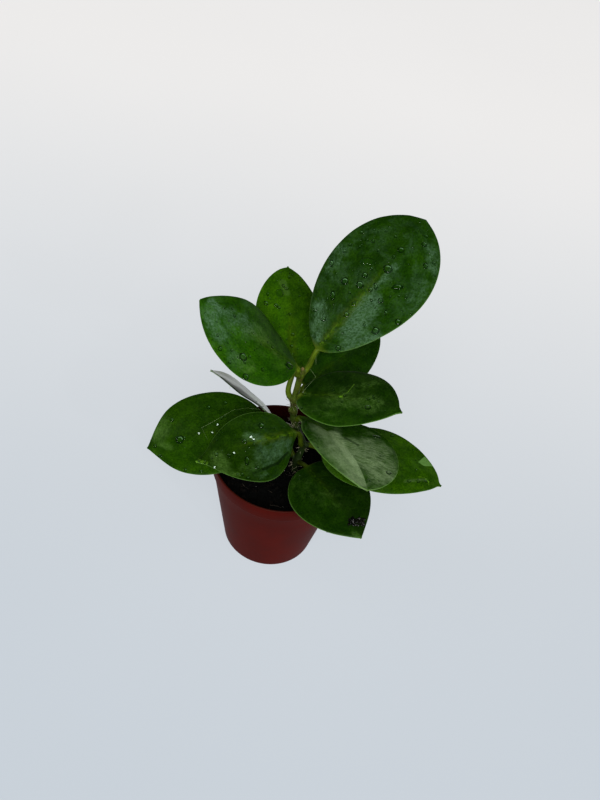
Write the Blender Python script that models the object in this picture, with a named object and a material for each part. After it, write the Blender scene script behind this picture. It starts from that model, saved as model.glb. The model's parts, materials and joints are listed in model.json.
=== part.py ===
"""A potted hoya: one zig-zag stem with eleven leaves, standing in soil in a small plastic pot.

Metres, +Z up. The origin is the middle of the pot's base, on the surface that it stands on.
The plant faces -Y, so in the names "right" is +X, "front" is -Y and "back" is +Y.
Lengths in the tables are millimetres, turned into metres by MM. Angles are degrees.
"""
import math
import random

import bmesh
import bpy
from mathutils import Matrix, Vector, noise

MM = 0.001
GAP = 0.3 * MM                     # left between pieces that touch on the real plant

# Pot
POT_HEIGHT = 55.0 * MM
RIM_RADIUS = 30.0 * MM             # over the lip
BASE_RADIUS = 21.0 * MM
POT_WALL = 0.9 * MM
COLLAR_HEIGHT = 7.0 * MM           # the straighter band under the lip
COLLAR_STEP = 0.6 * MM             # how far the band stands out from the wall below
COLLAR_DRAFT = 0.3 * MM            # the band widens this much up to the lip
FLOOR_TOP = 2.5 * MM
CHANNEL_DEPTH = 1.5 * MM           # the ring under the floor that lets water run out
PAD_RADIUS = 7.5 * MM              # middle pad that touches the surface
FOOT_WIDTH = 3.0 * MM              # outer ring that touches the surface
POT_EASE = 0.5 * MM                # softens the corners of the foot, the collar and the floor
LIP_ROUND = 0.6 * MM
DRAIN_COUNT = 8
DRAIN_RADIUS = 1.9 * MM
DRAIN_CIRCLE = 12.8 * MM
DRAIN_SIDES = 12
POT_SIDES = 48

# Soil
SOIL_TOP = 47.0 * MM
SOIL_RELIEF = 1.1 * MM
SOIL_RINGS = 9
SOIL_SIDES = 48
SOIL_FOOT_INSET = 1.2 * MM         # the plug's lower corner is cut off by this much
SOIL_FOOT_RISE = 0.8 * MM
SOIL_SHOULDER = 0.6 * MM           # from the wall to the first ring of the rough top
HEAP_SIZE = 14.0 * MM
HEAP_SHARE = 0.9                   # parts of the relief
CRUMB_SIZE = 6.0 * MM
CRUMB_SHARE = 1.3
CRUMB_MIDDLE = 0.5                 # keeps the rough top level with SOIL_TOP
STEM_HOLE_RADIUS = 2.05 * MM
STEM_HOLE_FLOOR = 33.0 * MM
STEM_HOLE_SIDES = 14

# Stem: points on its axis, in millimetres, from the buried end up to the growing tip
STEM_AXIS = (
    (6.6, -0.2, 33.4), (6.6, -0.2, 47.0), (7.1, 0.4, 54.0), (8.1, 1.9, 63.0), (5.2, 2.6, 69.0),
    (2.3, 3.3, 76.0), (1.5, 2.7, 82.0), (0.9, 2.0, 88.0), (1.2, 2.3, 96.0), (1.6, 2.8, 103.0),
    (1.9, 3.1, 106.5),
)
STEM_FOOT_RADIUS = 1.7 * MM
STEM_TOP_RADIUS = 1.3 * MM
STEM_SIDES = 9
STEM_STEPS = 4                     # rings between two points of the axis
STEM_NODES = (53.0, 63.0, 68.0, 76.0, 82.0, 88.0, 102.5)
NODE_SWELLING = 0.4 * MM
NODE_SPREAD = 1.6 * MM
BUD_LENGTH = 3.5 * MM
BUD_TIP_RADIUS = 0.45 * MM

# Leaf cushion: the short stub on the stem that a leaf stalk grows from
CUSHION_REACH = 3.4 * MM
CUSHION_RADIUS = 1.25 * MM
CUSHION_ROOT = 1.15                # how much wider it is inside the stem
CUSHION_SIDES = 8
SCAR = dict(node=82.0, side=200, lift=10)     # where a leaf has dropped off
SCAR_REACH = 2.3 * MM
SCAR_END = 0.9                     # how much narrower it is at its end

# Short aerial roots: height on the stem, and how many stand round it there
ROOTLETS = ((50.5, 5), (60.5, 3), (73.5, 5))
ROOTLET_REACH = 2.7 * MM
ROOTLET_RADIUS = 0.4 * MM
ROOTLET_SIDES = 4
ROOTLET_TIP = 0.6                  # how much narrower it is at its tip
ROOTLET_TURN = 0.3                 # drawn spread round the stem, as a share of their spacing
ROOTLET_STRETCH = 0.15             # drawn spread of their reach
ROOTLET_RISE = 0.8 * MM            # drawn spread of their height
ROOTLET_LIFT = (-20, 25)           # drawn between these angles above level
ROOTLET_SEED = 11

# Leaf blade
BLADE_THICKNESS = 0.9 * MM
MARGIN_THICKNESS = 0.64 * MM
STALK_RADIUS = 1.05 * MM
STALK_SWELLING = 0.15 * MM         # where the stalk meets its cushion
STALK_STEP = 2.6 * MM              # length of stalk between two rings
KEEL_DEPTH = 0.5 * MM              # midrib, standing out below the blade
KEEL_FADE = 1.5                    # how fast it sinks into the blade towards the tip
KEEL_SLOPE = 3                     # it ends a third of the way out to the margin
CUP = -10.0                        # each half curls down by this angle towards its margin
LOBE_REACH = 0.2
LOBE_POWER = 1.5                   # the lobes grow towards the margin
LOBE_FADE = 3                      # and fade out along the blade
CUSP_START = 0.975                 # the drip tip begins at this share of the length
CUSP_WIDTH = 1.8
CUSP_JOIN = 3                      # a high number joins body and drip tip more sharply
TIP_RADIUS = 0.35 * MM             # the tip is this blunt
TOP_OPENS = 0.06                   # the round stalk flattens on top by this share of the length
BELOW_OPENS = 0.25                 # and below by this one
FOLD_OPENS = 0.15                  # the fold is full where the blade is this share of its width
WAVE_HEIGHT = 0.4 * MM
WAVES = 1.5
WAVE_ONSET = 4                     # the margin waves fully from a quarter of the length
WAVE_STEP = 2.1                    # radians between the waves of one leaf and the next
DROOP_POWER = 1.3
MIDRIB_STEPS = 60
STATIONS = (0, 1, 2, 4, 7, 11, 16, 21, 26, 31, 36, 41, 46, 50, 53, 55, 57, 58, 59, 60)
ACROSS = (-1.0, -0.68, -0.34, 0.0, 0.34, 0.68, 1.0)
EDGE_ANGLE = 80.0                  # a stalk's section runs this far round on each side

# Leaves. node: height on the stem. side, lift: the way the stalk leaves it. base: where the
# blade begins. heading, rise, roll: how the blade starts. droop, bend, twist: how far it has
# turned down, sideways and about itself at its tip. fold: how far each half tips up.
# shoulder, taper: a low number is a blunt base or tip. lobe: how far the base reaches back.
# skew: how much wider the left half is.
LEAVES = {
    "leaf_crown_right": dict(
        node=102.5, side=40, lift=42, base=(6.0, 6.0, 114.5), length=73.0, width=39.5,
        heading=53, rise=36, roll=4, droop=27, bend=10, twist=13, fold=8,
        shoulder=0.94, taper=0.75, lobe=-0.1, skew=0.0),
    "leaf_crown_left": dict(
        node=102.0, side=230, lift=42, base=(-0.5, -1.5, 110.0), length=45.5, width=33.5,
        heading=184, rise=35, roll=8, droop=10, bend=-14, twist=-29, fold=-4,
        shoulder=0.64, taper=0.83, lobe=-0.1, skew=0.05),
    "leaf_upper_back": dict(
        node=88.0, side=165, lift=38, base=(-2.0, 9.5, 99.0), length=47.5, width=27.5,
        heading=108, rise=29, roll=4, droop=19, bend=-8, twist=7, fold=7,
        shoulder=0.56, taper=0.67, lobe=0.2, skew=0.0),
    "leaf_upper_right": dict(
        node=88.0, side=-50, lift=38, base=(4.0, -2.5, 97.0), length=42.0, width=28.0,
        heading=-13, rise=25, roll=1, droop=12, bend=-11, twist=5, fold=9,
        shoulder=0.63, taper=0.63, lobe=0.4, skew=0.0),
    "leaf_middle_back": dict(
        node=82.0, side=75, lift=25, base=(4.0, 13.5, 86.0), length=41.0, width=25.5,
        heading=43, rise=28, roll=10, droop=15, bend=0, twist=0, fold=7,
        shoulder=0.50, taper=0.70, lobe=0.2, skew=0.0),
    "leaf_middle_right": dict(
        node=76.0, side=-50, lift=40, base=(4.5, 0.5, 80.5), length=52.5, width=33.5,
        heading=-32, rise=18, roll=-27, droop=31, bend=-34, twist=16, fold=9,
        shoulder=0.66, taper=0.59, lobe=-0.6, skew=0.2),
    "leaf_side_small": dict(
        node=68.0, side=150, lift=15, base=(-7.0, 7.0, 70.5), length=33.5, width=18.0,
        heading=151, rise=24, roll=50, droop=26, bend=-2, twist=-11, fold=4,
        shoulder=0.72, taper=0.68, lobe=0.1, skew=0.0),
    "leaf_lower_front": dict(
        node=63.0, side=250, lift=38, base=(4.5, -1.0, 72.5), length=44.0, width=28.0,
        heading=209, rise=3, roll=-34, droop=28, bend=11, twist=37, fold=6,
        shoulder=0.68, taper=0.76, lobe=-0.4, skew=0.15),
    "leaf_lower_right": dict(
        node=63.0, side=-10, lift=20, base=(17.5, -0.5, 64.5), length=51.5, width=29.0,
        heading=-8, rise=15, roll=6, droop=18, bend=-13, twist=2, fold=8,
        shoulder=0.61, taper=0.70, lobe=0.2, skew=0.0),
    "leaf_bottom_left": dict(
        node=53.0, side=150, lift=40, base=(-6.5, 8.0, 64.0), length=54.5, width=35.5,
        heading=201, rise=-1, roll=-10, droop=21, bend=1, twist=-12, fold=11,
        shoulder=0.68, taper=0.62, lobe=-0.2, skew=0.0),
    "leaf_bottom_front": dict(
        node=53.0, side=-55, lift=35, base=(11.5, -6.5, 58.5), length=40.5, width=30.5,
        heading=-50, rise=6, roll=6, droop=14, bend=1, twist=3, fold=8,
        shoulder=0.58, taper=0.72, lobe=0.1, skew=0.0),
}

# Finishes: colour, roughness, and the angle past which an edge stays sharp
FINISHES = {
    "pot": ((0.105, 0.030, 0.022), 0.5, 30),
    "soil": ((0.010, 0.008, 0.007), 0.95, 20),
    "stem": ((0.075, 0.110, 0.020), 0.55, 40),
    "leaf": ((0.020, 0.070, 0.012), 0.35, 50),
    "leaf_light": ((0.045, 0.120, 0.010), 0.35, 50),
    "leaf_silver": ((0.070, 0.110, 0.060), 0.30, 50),
}
LIGHT_LEAVES = ("leaf_upper_back", "leaf_lower_right")
SILVER_LEAVES = ("leaf_middle_right",)


def clear_scene():
    for item in list(bpy.data.objects):
        bpy.data.objects.remove(item, do_unlink=True)


def finish_material(name, colour, roughness):
    material = bpy.data.materials.new(name)
    material.use_nodes = True
    shader = material.node_tree.nodes["Principled BSDF"]
    shader.inputs["Base Color"].default_value = (*colour, 1.0)
    shader.inputs["Roughness"].default_value = roughness
    shader.inputs["Metallic"].default_value = 0.0
    return material


def object_from(form, name):
    """Turn a bmesh into an object in the scene."""
    mesh = bpy.data.meshes.new(name)
    form.to_mesh(mesh)
    form.free()
    item = bpy.data.objects.new(name, mesh)
    bpy.context.scene.collection.objects.link(item)
    return item


def shade(item, finish):
    colour, roughness, sharp_angle = FINISHES[finish]
    item.data.shade_smooth()
    item.data.set_sharp_from_angle(angle=math.radians(sharp_angle))
    item.data.materials.append(finish_material(item.name, colour, roughness))


def loft(form, rings):
    """Join rings of points, end to end, into one closed skin with a fan over each end.

    Points run the same way round in every ring. Each four-sided gap is split corner to
    corner, in mirror image on the far half of the ring, so both faces of a blade match.
    """
    rows = [[form.verts.new(point) for point in ring] for ring in rings]
    count = len(rows[0])
    half = count // 2
    for near, far in zip(rows, rows[1:]):
        for place in range(count):
            after = (place + 1) % count
            if place < half:
                form.faces.new((near[place], near[after], far[after]))
                form.faces.new((near[place], far[after], far[place]))
            else:
                form.faces.new((near[place], near[after], far[place]))
                form.faces.new((near[after], far[after], far[place]))
    for row, turn in ((rows[0], -1), (rows[-1], 1)):
        middle = form.verts.new(sum((vert.co for vert in row), Vector()) / count)
        for place in range(count):
            corners = (row[place], row[(place + 1) % count], middle)
            form.faces.new(corners[::turn])
    bmesh.ops.recalc_face_normals(form, faces=form.faces)


def modify(item, kind, **settings):
    """Add a modifier, apply it, and leave its result as the object's mesh."""
    modifier = item.modifiers.new(kind.title(), kind)
    for key, value in settings.items():
        setattr(modifier, key, value)
    bpy.context.view_layer.update()
    evaluated = item.evaluated_get(bpy.context.evaluated_depsgraph_get())
    result = bpy.data.meshes.new_from_object(evaluated)
    item.modifiers.clear()
    item.data = result


def join_by_union(item, extras):
    """Fuse a list of objects into the first one, by one Boolean on their collection."""
    group = bpy.data.collections.new(item.name + "_extras")
    bpy.context.scene.collection.children.link(group)
    for extra in extras:
        bpy.context.scene.collection.objects.unlink(extra)
        group.objects.link(extra)
    modify(item, "BOOLEAN", operation="UNION", operand_type="COLLECTION", collection=group,
           solver="EXACT", use_self=True)
    for extra in extras:
        bpy.data.objects.remove(extra, do_unlink=True)
    bpy.data.collections.remove(group)


# The pot

def outer_radius(height):
    """The wall below the collar tapers straight from the foot."""
    top = RIM_RADIUS - COLLAR_DRAFT - COLLAR_STEP
    share = height / (POT_HEIGHT - COLLAR_HEIGHT)
    return BASE_RADIUS + (top - BASE_RADIUS) * share


def inner_radius(height):
    return outer_radius(height) - POT_WALL


def pot_profile():
    """Radius and height, from the middle of the base, out, over the lip and in to the floor."""
    collar_foot = POT_HEIGHT - COLLAR_HEIGHT
    band = RIM_RADIUS - COLLAR_DRAFT
    foot_inside = BASE_RADIUS - FOOT_WIDTH
    lip_corner = LIP_ROUND * (1 - math.sqrt(0.5))
    return (
        (0.0, 0.0),
        (PAD_RADIUS, 0.0),
        (PAD_RADIUS + POT_EASE, CHANNEL_DEPTH),
        (foot_inside - POT_EASE, CHANNEL_DEPTH),
        (foot_inside, 0.0),
        (BASE_RADIUS - POT_EASE, 0.0),
        (outer_radius(POT_EASE), POT_EASE),
        (outer_radius(collar_foot - POT_EASE), collar_foot - POT_EASE),
        (band, collar_foot + POT_EASE),
        (RIM_RADIUS, POT_HEIGHT - LIP_ROUND),
        (RIM_RADIUS - lip_corner, POT_HEIGHT - lip_corner),
        (RIM_RADIUS - LIP_ROUND, POT_HEIGHT),
        (RIM_RADIUS - POT_WALL, POT_HEIGHT - LIP_ROUND),
        (band - POT_WALL, collar_foot + 2 * POT_EASE),
        (inner_radius(collar_foot - 2 * POT_EASE), collar_foot - 2 * POT_EASE),
        (inner_radius(FLOOR_TOP + POT_EASE), FLOOR_TOP + POT_EASE),
        (inner_radius(FLOOR_TOP) - POT_EASE, FLOOR_TOP),
        (0.0, FLOOR_TOP),
    )


def make_pot():
    form = bmesh.new()
    corners = [form.verts.new((radius, 0.0, height)) for radius, height in pot_profile()]
    edges = [form.edges.new(pair) for pair in zip(corners, corners[1:])]
    bmesh.ops.spin(form, geom=corners + edges, axis=(0, 0, 1), cent=(0, 0, 0),
                   angle=2 * math.pi, steps=POT_SIDES, use_merge=True)
    bmesh.ops.remove_doubles(form, verts=form.verts, dist=0.01 * MM)
    bmesh.ops.recalc_face_normals(form, faces=form.faces)
    pot = object_from(form, "pot")
    drill_drains(pot)
    shade(pot, "pot")


def drill_drains(pot):
    """Cut the ring of round holes through the floor, one drill for each."""
    drills = bmesh.new()
    for number in range(DRAIN_COUNT):
        turn = 2 * math.pi * (number + 0.5) / DRAIN_COUNT
        place = Matrix.Translation((DRAIN_CIRCLE * math.cos(turn), DRAIN_CIRCLE * math.sin(turn),
                                    FLOOR_TOP))
        bmesh.ops.create_cone(drills, cap_ends=True, segments=DRAIN_SIDES, radius1=DRAIN_RADIUS,
                              radius2=DRAIN_RADIUS, depth=2 * FLOOR_TOP, matrix=place)
    cutter = object_from(drills, "drain_drills")
    modify(pot, "BOOLEAN", operation="DIFFERENCE", object=cutter, solver="EXACT")
    bpy.data.objects.remove(cutter, do_unlink=True)


# The soil

def soil_height(x, y):
    """Broad heaps with rounded crumbs on them."""
    heap = noise.noise(Vector((x, y, 0.0)) / HEAP_SIZE)
    crumb = noise.voronoi(Vector((x, y, SOIL_TOP)) / CRUMB_SIZE)[0][0]
    return SOIL_TOP + SOIL_RELIEF * (HEAP_SHARE * heap + CRUMB_MIDDLE - CRUMB_SHARE * crumb)


def make_soil():
    """A plug that fills the pot, with a rough top and a plain hole for the stem."""
    side_top = SOIL_TOP - SOIL_RELIEF
    bottom = FLOOR_TOP + GAP
    turns = [2 * math.pi * side / SOIL_SIDES for side in range(SOIL_SIDES)]
    rings = []
    for height, inset in ((bottom, SOIL_FOOT_INSET), (bottom + SOIL_FOOT_RISE, 0.0), (side_top, 0.0)):
        radius = inner_radius(height) - GAP - inset
        rings.append([Vector((radius * math.cos(turn), radius * math.sin(turn), height))
                      for turn in turns])
    reach = inner_radius(side_top) - GAP
    for ring in range(SOIL_RINGS, 0, -1):
        radius = (reach - SOIL_SHOULDER) * ring / SOIL_RINGS
        spots = [(radius * math.cos(turn), radius * math.sin(turn)) for turn in turns]
        rings.append([Vector((x, y, soil_height(x, y))) for x, y in spots])
    form = bmesh.new()
    loft(form, rings)
    soil = object_from(form, "soil")
    drill_stem_hole(soil)
    shade(soil, "soil")


def drill_stem_hole(soil):
    drill = bmesh.new()
    foot = Vector(STEM_AXIS[0]) * MM
    depth = 2 * (SOIL_TOP - STEM_HOLE_FLOOR)
    place = Matrix.Translation((foot.x, foot.y, STEM_HOLE_FLOOR + depth / 2))
    bmesh.ops.create_cone(drill, cap_ends=True, segments=STEM_HOLE_SIDES,
                          radius1=STEM_HOLE_RADIUS, radius2=STEM_HOLE_RADIUS, depth=depth,
                          matrix=place)
    cutter = object_from(drill, "stem_drill")
    modify(soil, "BOOLEAN", operation="DIFFERENCE", object=cutter, solver="EXACT")
    bpy.data.objects.remove(cutter, do_unlink=True)


# The stem

def spline_point(points, place):
    """A smooth curve through all the points; place counts from 0 at the first one."""
    last = len(points) - 1
    first = min(int(place), last - 1)
    share = place - first
    before, start, end, after = (points[min(max(first + step, 0), last)] for step in (-1, 0, 1, 2))
    return 0.5 * (2 * start + (end - before) * share
                  + (2 * before - 5 * start + 4 * end - after) * share ** 2
                  + (3 * start - before - 3 * end + after) * share ** 3)


def stem_line():
    points = [Vector(point) * MM for point in STEM_AXIS]
    total = (len(points) - 1) * STEM_STEPS
    return [spline_point(points, step / STEM_STEPS) for step in range(total + 1)]


def stem_point(height):
    """The place on the stem's axis at a height."""
    line = stem_line()
    for low, high in zip(line, line[1:]):
        if low.z <= height <= high.z:
            return low.lerp(high, (height - low.z) / (high.z - low.z))
    raise ValueError("the stem doesn't reach that height")


def stem_radius(height):
    foot, top = STEM_AXIS[0][2] * MM, STEM_AXIS[-1][2] * MM
    share = (height - foot) / (top - foot)
    radius = STEM_FOOT_RADIUS + (STEM_TOP_RADIUS - STEM_FOOT_RADIUS) * share
    for node in STEM_NODES:
        radius += NODE_SWELLING * math.exp(-((height - node * MM) / NODE_SPREAD) ** 2)
    into_bud = (height - (top - BUD_LENGTH)) / BUD_LENGTH
    if into_bud > 0:
        radius += (BUD_TIP_RADIUS - radius) * into_bud ** 2
    return radius


def ring_round(centre, side, up, radius, sides):
    return [centre + radius * (side * math.cos(turn) + up * math.sin(turn))
            for turn in (2 * math.pi * step / sides for step in range(sides))]


def square_to(direction):
    """Two directions square to the given one, the first of them level."""
    side = Vector((0, 0, 1)).cross(direction)
    if side.length < 0.01:
        side = Vector((1, 0, 0))
    side.normalize()
    return side, direction.cross(side).normalized()


def peg(name, start, direction, reach, radius, tip_radius, sides):
    """A short tapered peg that begins inside the stem."""
    side, up = square_to(direction)
    form = bmesh.new()
    loft(form, [ring_round(start, side, up, radius, sides),
                ring_round(start + direction * reach, side, up, tip_radius, sides)])
    return object_from(form, name)


def way_out(side, lift):
    """The unit direction at an azimuth and an angle above level, in degrees."""
    level = math.cos(math.radians(lift))
    return Vector((level * math.cos(math.radians(side)), level * math.sin(math.radians(side)),
                   math.sin(math.radians(lift))))


def make_rootlets():
    draw = random.Random(ROOTLET_SEED)
    pegs = []
    for height, count in ROOTLETS:
        for number in range(count):
            side = 360 * (number + draw.uniform(-ROOTLET_TURN, ROOTLET_TURN)) / count
            reach = ROOTLET_REACH * (1 + draw.uniform(-ROOTLET_STRETCH, ROOTLET_STRETCH))
            start = stem_point(height * MM + draw.uniform(-ROOTLET_RISE, ROOTLET_RISE))
            way = way_out(side, draw.uniform(*ROOTLET_LIFT))
            pegs.append(peg("rootlet", start, way, reach, ROOTLET_RADIUS,
                            ROOTLET_TIP * ROOTLET_RADIUS, ROOTLET_SIDES))
    return pegs


def make_stem():
    """The stem with its swollen nodes, leaf cushions, scar and short aerial roots, all one."""
    form = bmesh.new()
    rings = []
    for centre in stem_line():
        rings.append(ring_round(centre, Vector((1, 0, 0)), Vector((0, 1, 0)),
                                stem_radius(centre.z), STEM_SIDES))
    loft(form, rings)
    stem = object_from(form, "stem")
    extras = make_rootlets()
    for leaf in LEAVES.values():
        extras.append(peg("cushion", stem_point(leaf["node"] * MM),
                          way_out(leaf["side"], leaf["lift"]), CUSHION_REACH,
                          CUSHION_ROOT * CUSHION_RADIUS, CUSHION_RADIUS, CUSHION_SIDES))
    extras.append(peg("scar", stem_point(SCAR["node"] * MM), way_out(SCAR["side"], SCAR["lift"]),
                      SCAR_REACH, CUSHION_RADIUS, SCAR_END * CUSHION_RADIUS, CUSHION_SIDES))
    join_by_union(stem, extras)
    shade(stem, "stem")


# The leaves

def turned(axis, angle):
    return Matrix.Rotation(math.radians(angle), 3, axis)


def first_frame(leaf):
    """Columns along the blade, to its left and up from it, where it begins."""
    along = way_out(leaf["heading"], leaf["rise"])
    left = Vector((-math.sin(math.radians(leaf["heading"])),
                   math.cos(math.radians(leaf["heading"])), 0))
    level = Matrix((along, left, along.cross(left))).transposed()
    return level @ turned("X", leaf["roll"])


def frame_at(leaf, share):
    return (first_frame(leaf) @ turned("Y", leaf["droop"] * share ** DROOP_POWER)
            @ turned("Z", leaf["bend"] * share) @ turned("X", leaf["twist"] * share))


def midrib(leaf):
    """Points along the midrib, evenly spaced, from the base of the blade to its tip."""
    step = leaf["length"] * MM / MIDRIB_STEPS
    points = [Vector(leaf["base"]) * MM]
    for number in range(MIDRIB_STEPS):
        along = frame_at(leaf, (number + 0.5) / MIDRIB_STEPS).col[0]
        points.append(points[-1] + along * step)
    return points


def outline(leaf, share):
    """Half the blade's width, as a share of the most it has."""
    shoulder, taper = leaf["shoulder"], leaf["taper"]
    reach = min(share / CUSP_START, 1.0)
    both = shoulder + taper
    peak = (shoulder / both) ** shoulder * (taper / both) ** taper
    body = reach ** shoulder * (1 - reach) ** taper / peak
    cusp = CUSP_WIDTH * (1 - share) * math.sqrt(share)
    return (body ** CUSP_JOIN + cusp ** CUSP_JOIN) ** (1 / CUSP_JOIN)


def section(leaf, phase, centre, frame, share, radius):
    """One closed ring across the leaf: over the top from right to left, and back below.

    At share 0 it is the round stalk. Past that it opens into the blade. A station on the
    stalk itself is given share 0 and its own centre, frame and radius.
    """
    along, left, up = (frame.col[number] for number in range(3))
    width = leaf["width"] * MM
    half = outline(leaf, share) * width / 2
    round_top = max(0.0, 1 - share / TOP_OPENS) ** 2
    round_below = max(0.0, 1 - share / BELOW_OPENS) ** 2
    reach = max(math.hypot(half, radius * round_below), TIP_RADIUS)
    opened = min(1.0, half / (FOLD_OPENS * width))
    upper, lower = [], []
    for place in ACROSS:
        turn = math.radians(EDGE_ANGLE * place)
        across = (1 - round_top) * place + round_top * math.sin(turn)
        sign = math.copysign(1.0, place)
        out = abs(across) * reach * (1 + sign * leaf["skew"] * opened)
        tip_up = math.radians(leaf["fold"] + CUP * out / width) * opened
        point = centre + sign * out * math.cos(tip_up) * left + out * math.sin(tip_up) * up
        lobe = leaf["lobe"] * width * LOBE_REACH * abs(place) ** LOBE_POWER * (1 - share) ** LOBE_FADE
        point -= along * lobe * opened
        wave = math.sin(2 * math.pi * WAVES * share + phase) * min(1.0, WAVE_ONSET * share)
        point += up * WAVE_HEIGHT * wave * place ** 2
        face = math.cos(tip_up) * up - sign * math.sin(tip_up) * left
        thick = (BLADE_THICKNESS + (MARGIN_THICKNESS - BLADE_THICKNESS) * place ** 2) / 2
        bulge = max(thick, radius * math.cos(turn))
        keel = KEEL_DEPTH * (1 - share) ** KEEL_FADE * max(0.0, 1 - KEEL_SLOPE * abs(place))
        upper.append(point + face * (thick + (bulge - thick) * round_top))
        lower.append(point - face * (max(thick + keel, thick + (bulge - thick) * round_below)))
    return upper + lower[::-1]


def blended(parts, weights):
    return sum((part * weight for part, weight in zip(parts, weights)), Vector())


def curve_point(parts, share):
    """A point on the curve set by a start, its pull, an end and its pull, and the way there."""
    place = (2 * share ** 3 - 3 * share ** 2 + 1, share ** 3 - 2 * share ** 2 + share,
             3 * share ** 2 - 2 * share ** 3, share ** 3 - share ** 2)
    slope = (6 * share ** 2 - 6 * share, 3 * share ** 2 - 4 * share + 1,
             6 * share - 6 * share ** 2, 3 * share ** 2 - 2 * share)
    return blended(parts, place), blended(parts, slope).normalized()


def stalk_sections(leaf, phase):
    """Rings along the stalk's curve, from its flat end at the cushion towards the blade."""
    leave = way_out(leaf["side"], leaf["lift"])
    start = stem_point(leaf["node"] * MM) + leave * (CUSHION_REACH + GAP)
    end = Vector(leaf["base"]) * MM
    frame = first_frame(leaf)
    chord = (end - start).length
    parts = (start, leave * chord, end, frame.col[0] * chord)
    count = max(2, round(chord / STALK_STEP))
    rings = []
    left = frame.col[1]
    for number in reversed(range(count)):
        centre, way = curve_point(parts, number / count)
        left = (left - way * left.dot(way)).normalized()
        radius = STALK_RADIUS + STALK_SWELLING * (1 - number / count) ** 2
        here = Matrix((way, left, way.cross(left))).transposed()
        rings.append(section(leaf, phase, centre, here, 0.0, radius))
    return rings[::-1]


def make_leaf(name, number):
    """The blade and its stalk, in one piece."""
    leaf = LEAVES[name]
    phase = WAVE_STEP * number
    points = midrib(leaf)
    rings = stalk_sections(leaf, phase)
    for station in STATIONS:
        share = station / MIDRIB_STEPS
        rings.append(section(leaf, phase, points[station], frame_at(leaf, share), share,
                             STALK_RADIUS))
    form = bmesh.new()
    loft(form, rings)
    item = object_from(form, name)
    finish = "leaf"
    if name in LIGHT_LEAVES:
        finish = "leaf_light"
    if name in SILVER_LEAVES:
        finish = "leaf_silver"
    shade(item, finish)


def main():
    clear_scene()
    make_pot()
    make_soil()
    make_stem()
    for number, name in enumerate(LEAVES):
        make_leaf(name, number)


main()
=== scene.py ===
import json
import math
import random

import bmesh
import bpy
from bpy.props import FloatProperty, FloatVectorProperty, IntProperty, PointerProperty
from mathutils import Matrix, Vector, noise
from mathutils.bvhtree import BVHTree
from mathutils.interpolate import poly_3d_calc

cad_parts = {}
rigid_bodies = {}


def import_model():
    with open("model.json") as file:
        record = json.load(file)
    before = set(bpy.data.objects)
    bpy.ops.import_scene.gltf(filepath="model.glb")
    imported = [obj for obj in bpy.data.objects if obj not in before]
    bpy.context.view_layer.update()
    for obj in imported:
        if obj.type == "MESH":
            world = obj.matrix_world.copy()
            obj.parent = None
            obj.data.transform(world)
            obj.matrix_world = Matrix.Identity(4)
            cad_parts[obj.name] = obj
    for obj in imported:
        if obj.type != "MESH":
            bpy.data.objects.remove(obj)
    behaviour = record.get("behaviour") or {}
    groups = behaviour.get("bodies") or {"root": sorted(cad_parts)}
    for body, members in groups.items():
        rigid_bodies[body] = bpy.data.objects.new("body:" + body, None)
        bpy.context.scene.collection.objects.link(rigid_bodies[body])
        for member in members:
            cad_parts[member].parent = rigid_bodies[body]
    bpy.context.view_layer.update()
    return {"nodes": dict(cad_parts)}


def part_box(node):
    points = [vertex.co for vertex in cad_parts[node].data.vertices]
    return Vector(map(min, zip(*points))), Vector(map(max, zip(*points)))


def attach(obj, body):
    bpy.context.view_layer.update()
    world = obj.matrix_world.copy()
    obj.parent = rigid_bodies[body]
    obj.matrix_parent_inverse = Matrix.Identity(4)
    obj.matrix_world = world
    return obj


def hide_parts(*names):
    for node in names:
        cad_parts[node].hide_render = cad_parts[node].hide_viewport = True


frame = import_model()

bl_info = {
    "name": "Potted Hoya",
    "version": (1, 0, 0),
    "blender": (4, 5, 0),
    "location": "View3D > Sidebar > Hoya",
    "description": "Dresses a packed potted hoya with fine leaves, stem, pot, soil and water drops",
    "category": "Add Mesh",
}

BODY = "root"
MM = 0.001
METRE = 1000.0                     # in millimetres
WELD = 0.001 * MM                  # points of a skin that lie closer than this are one

# Pot and soil: the sizes of the solids that the fine pieces stand for
POT_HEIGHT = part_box("pot")[1].z
RIM_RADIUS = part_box("pot")[1].x
BASE_RADIUS = 21.0 * MM
POT_WALL = 0.9 * MM
COLLAR_HEIGHT = 7.0 * MM
COLLAR_STEP = 0.6 * MM
COLLAR_DRAFT = 0.3 * MM
FLOOR_TOP = 2.5 * MM
CHANNEL_DEPTH = 1.5 * MM
PAD_RADIUS = 7.5 * MM
FOOT_WIDTH = 3.0 * MM
POT_EASE = 0.5 * MM
LIP_ROUND = 0.45 * MM
DRAIN_COUNT = 8
DRAIN_RADIUS = 1.9 * MM
DRAIN_CIRCLE = 12.8 * MM
SOIL_TOP = 47.0 * MM
SOIL_GAP = 0.3 * MM                # between the soil and the pot
SOIL_EASE = 0.75 * MM              # the same from the middle of the pot's wall
WORN_BAND = (0.55, 0.1)            # below the top of the rim, where the lip is worn
STAIN_BAND = (1.4, 4.6)            # above the soil, where its stain ends
SPLASH_BAND = (30.0, 50.0)
WALL_HEIGHTS = (0.6, 2, 8, 16, 24, 32, 40, 46.6)
INNER_HEIGHTS = (46, 36, 20, 4, 3)
HEAP_SIZE = 14 * MM
CRUMB_SIZE = 6 * MM
CLOD_SIZE = 1.7 * MM
CLOD_HEIGHT = 0.45 * MM
GRAIN_SIZE = 0.6 * MM
GRAIN_HEIGHT = 0.2 * MM
CRUMB_LEAST = 0.7 * MM             # the narrowest of the loose crumbs, and how much wider they may be
CRUMB_MORE = 2.2 * MM
SPECK_LEAST = 0.25                 # the same for the pale specks, in millimetres
SPECK_MORE = 0.40
SPECK_LIFT = 0.35 * MM
THREAD_RADIUS = 0.07 * MM
THREAD_PARTS = 6
THREAD_STEP = (0.5, 1.1)           # length of one part in millimetres
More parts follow.
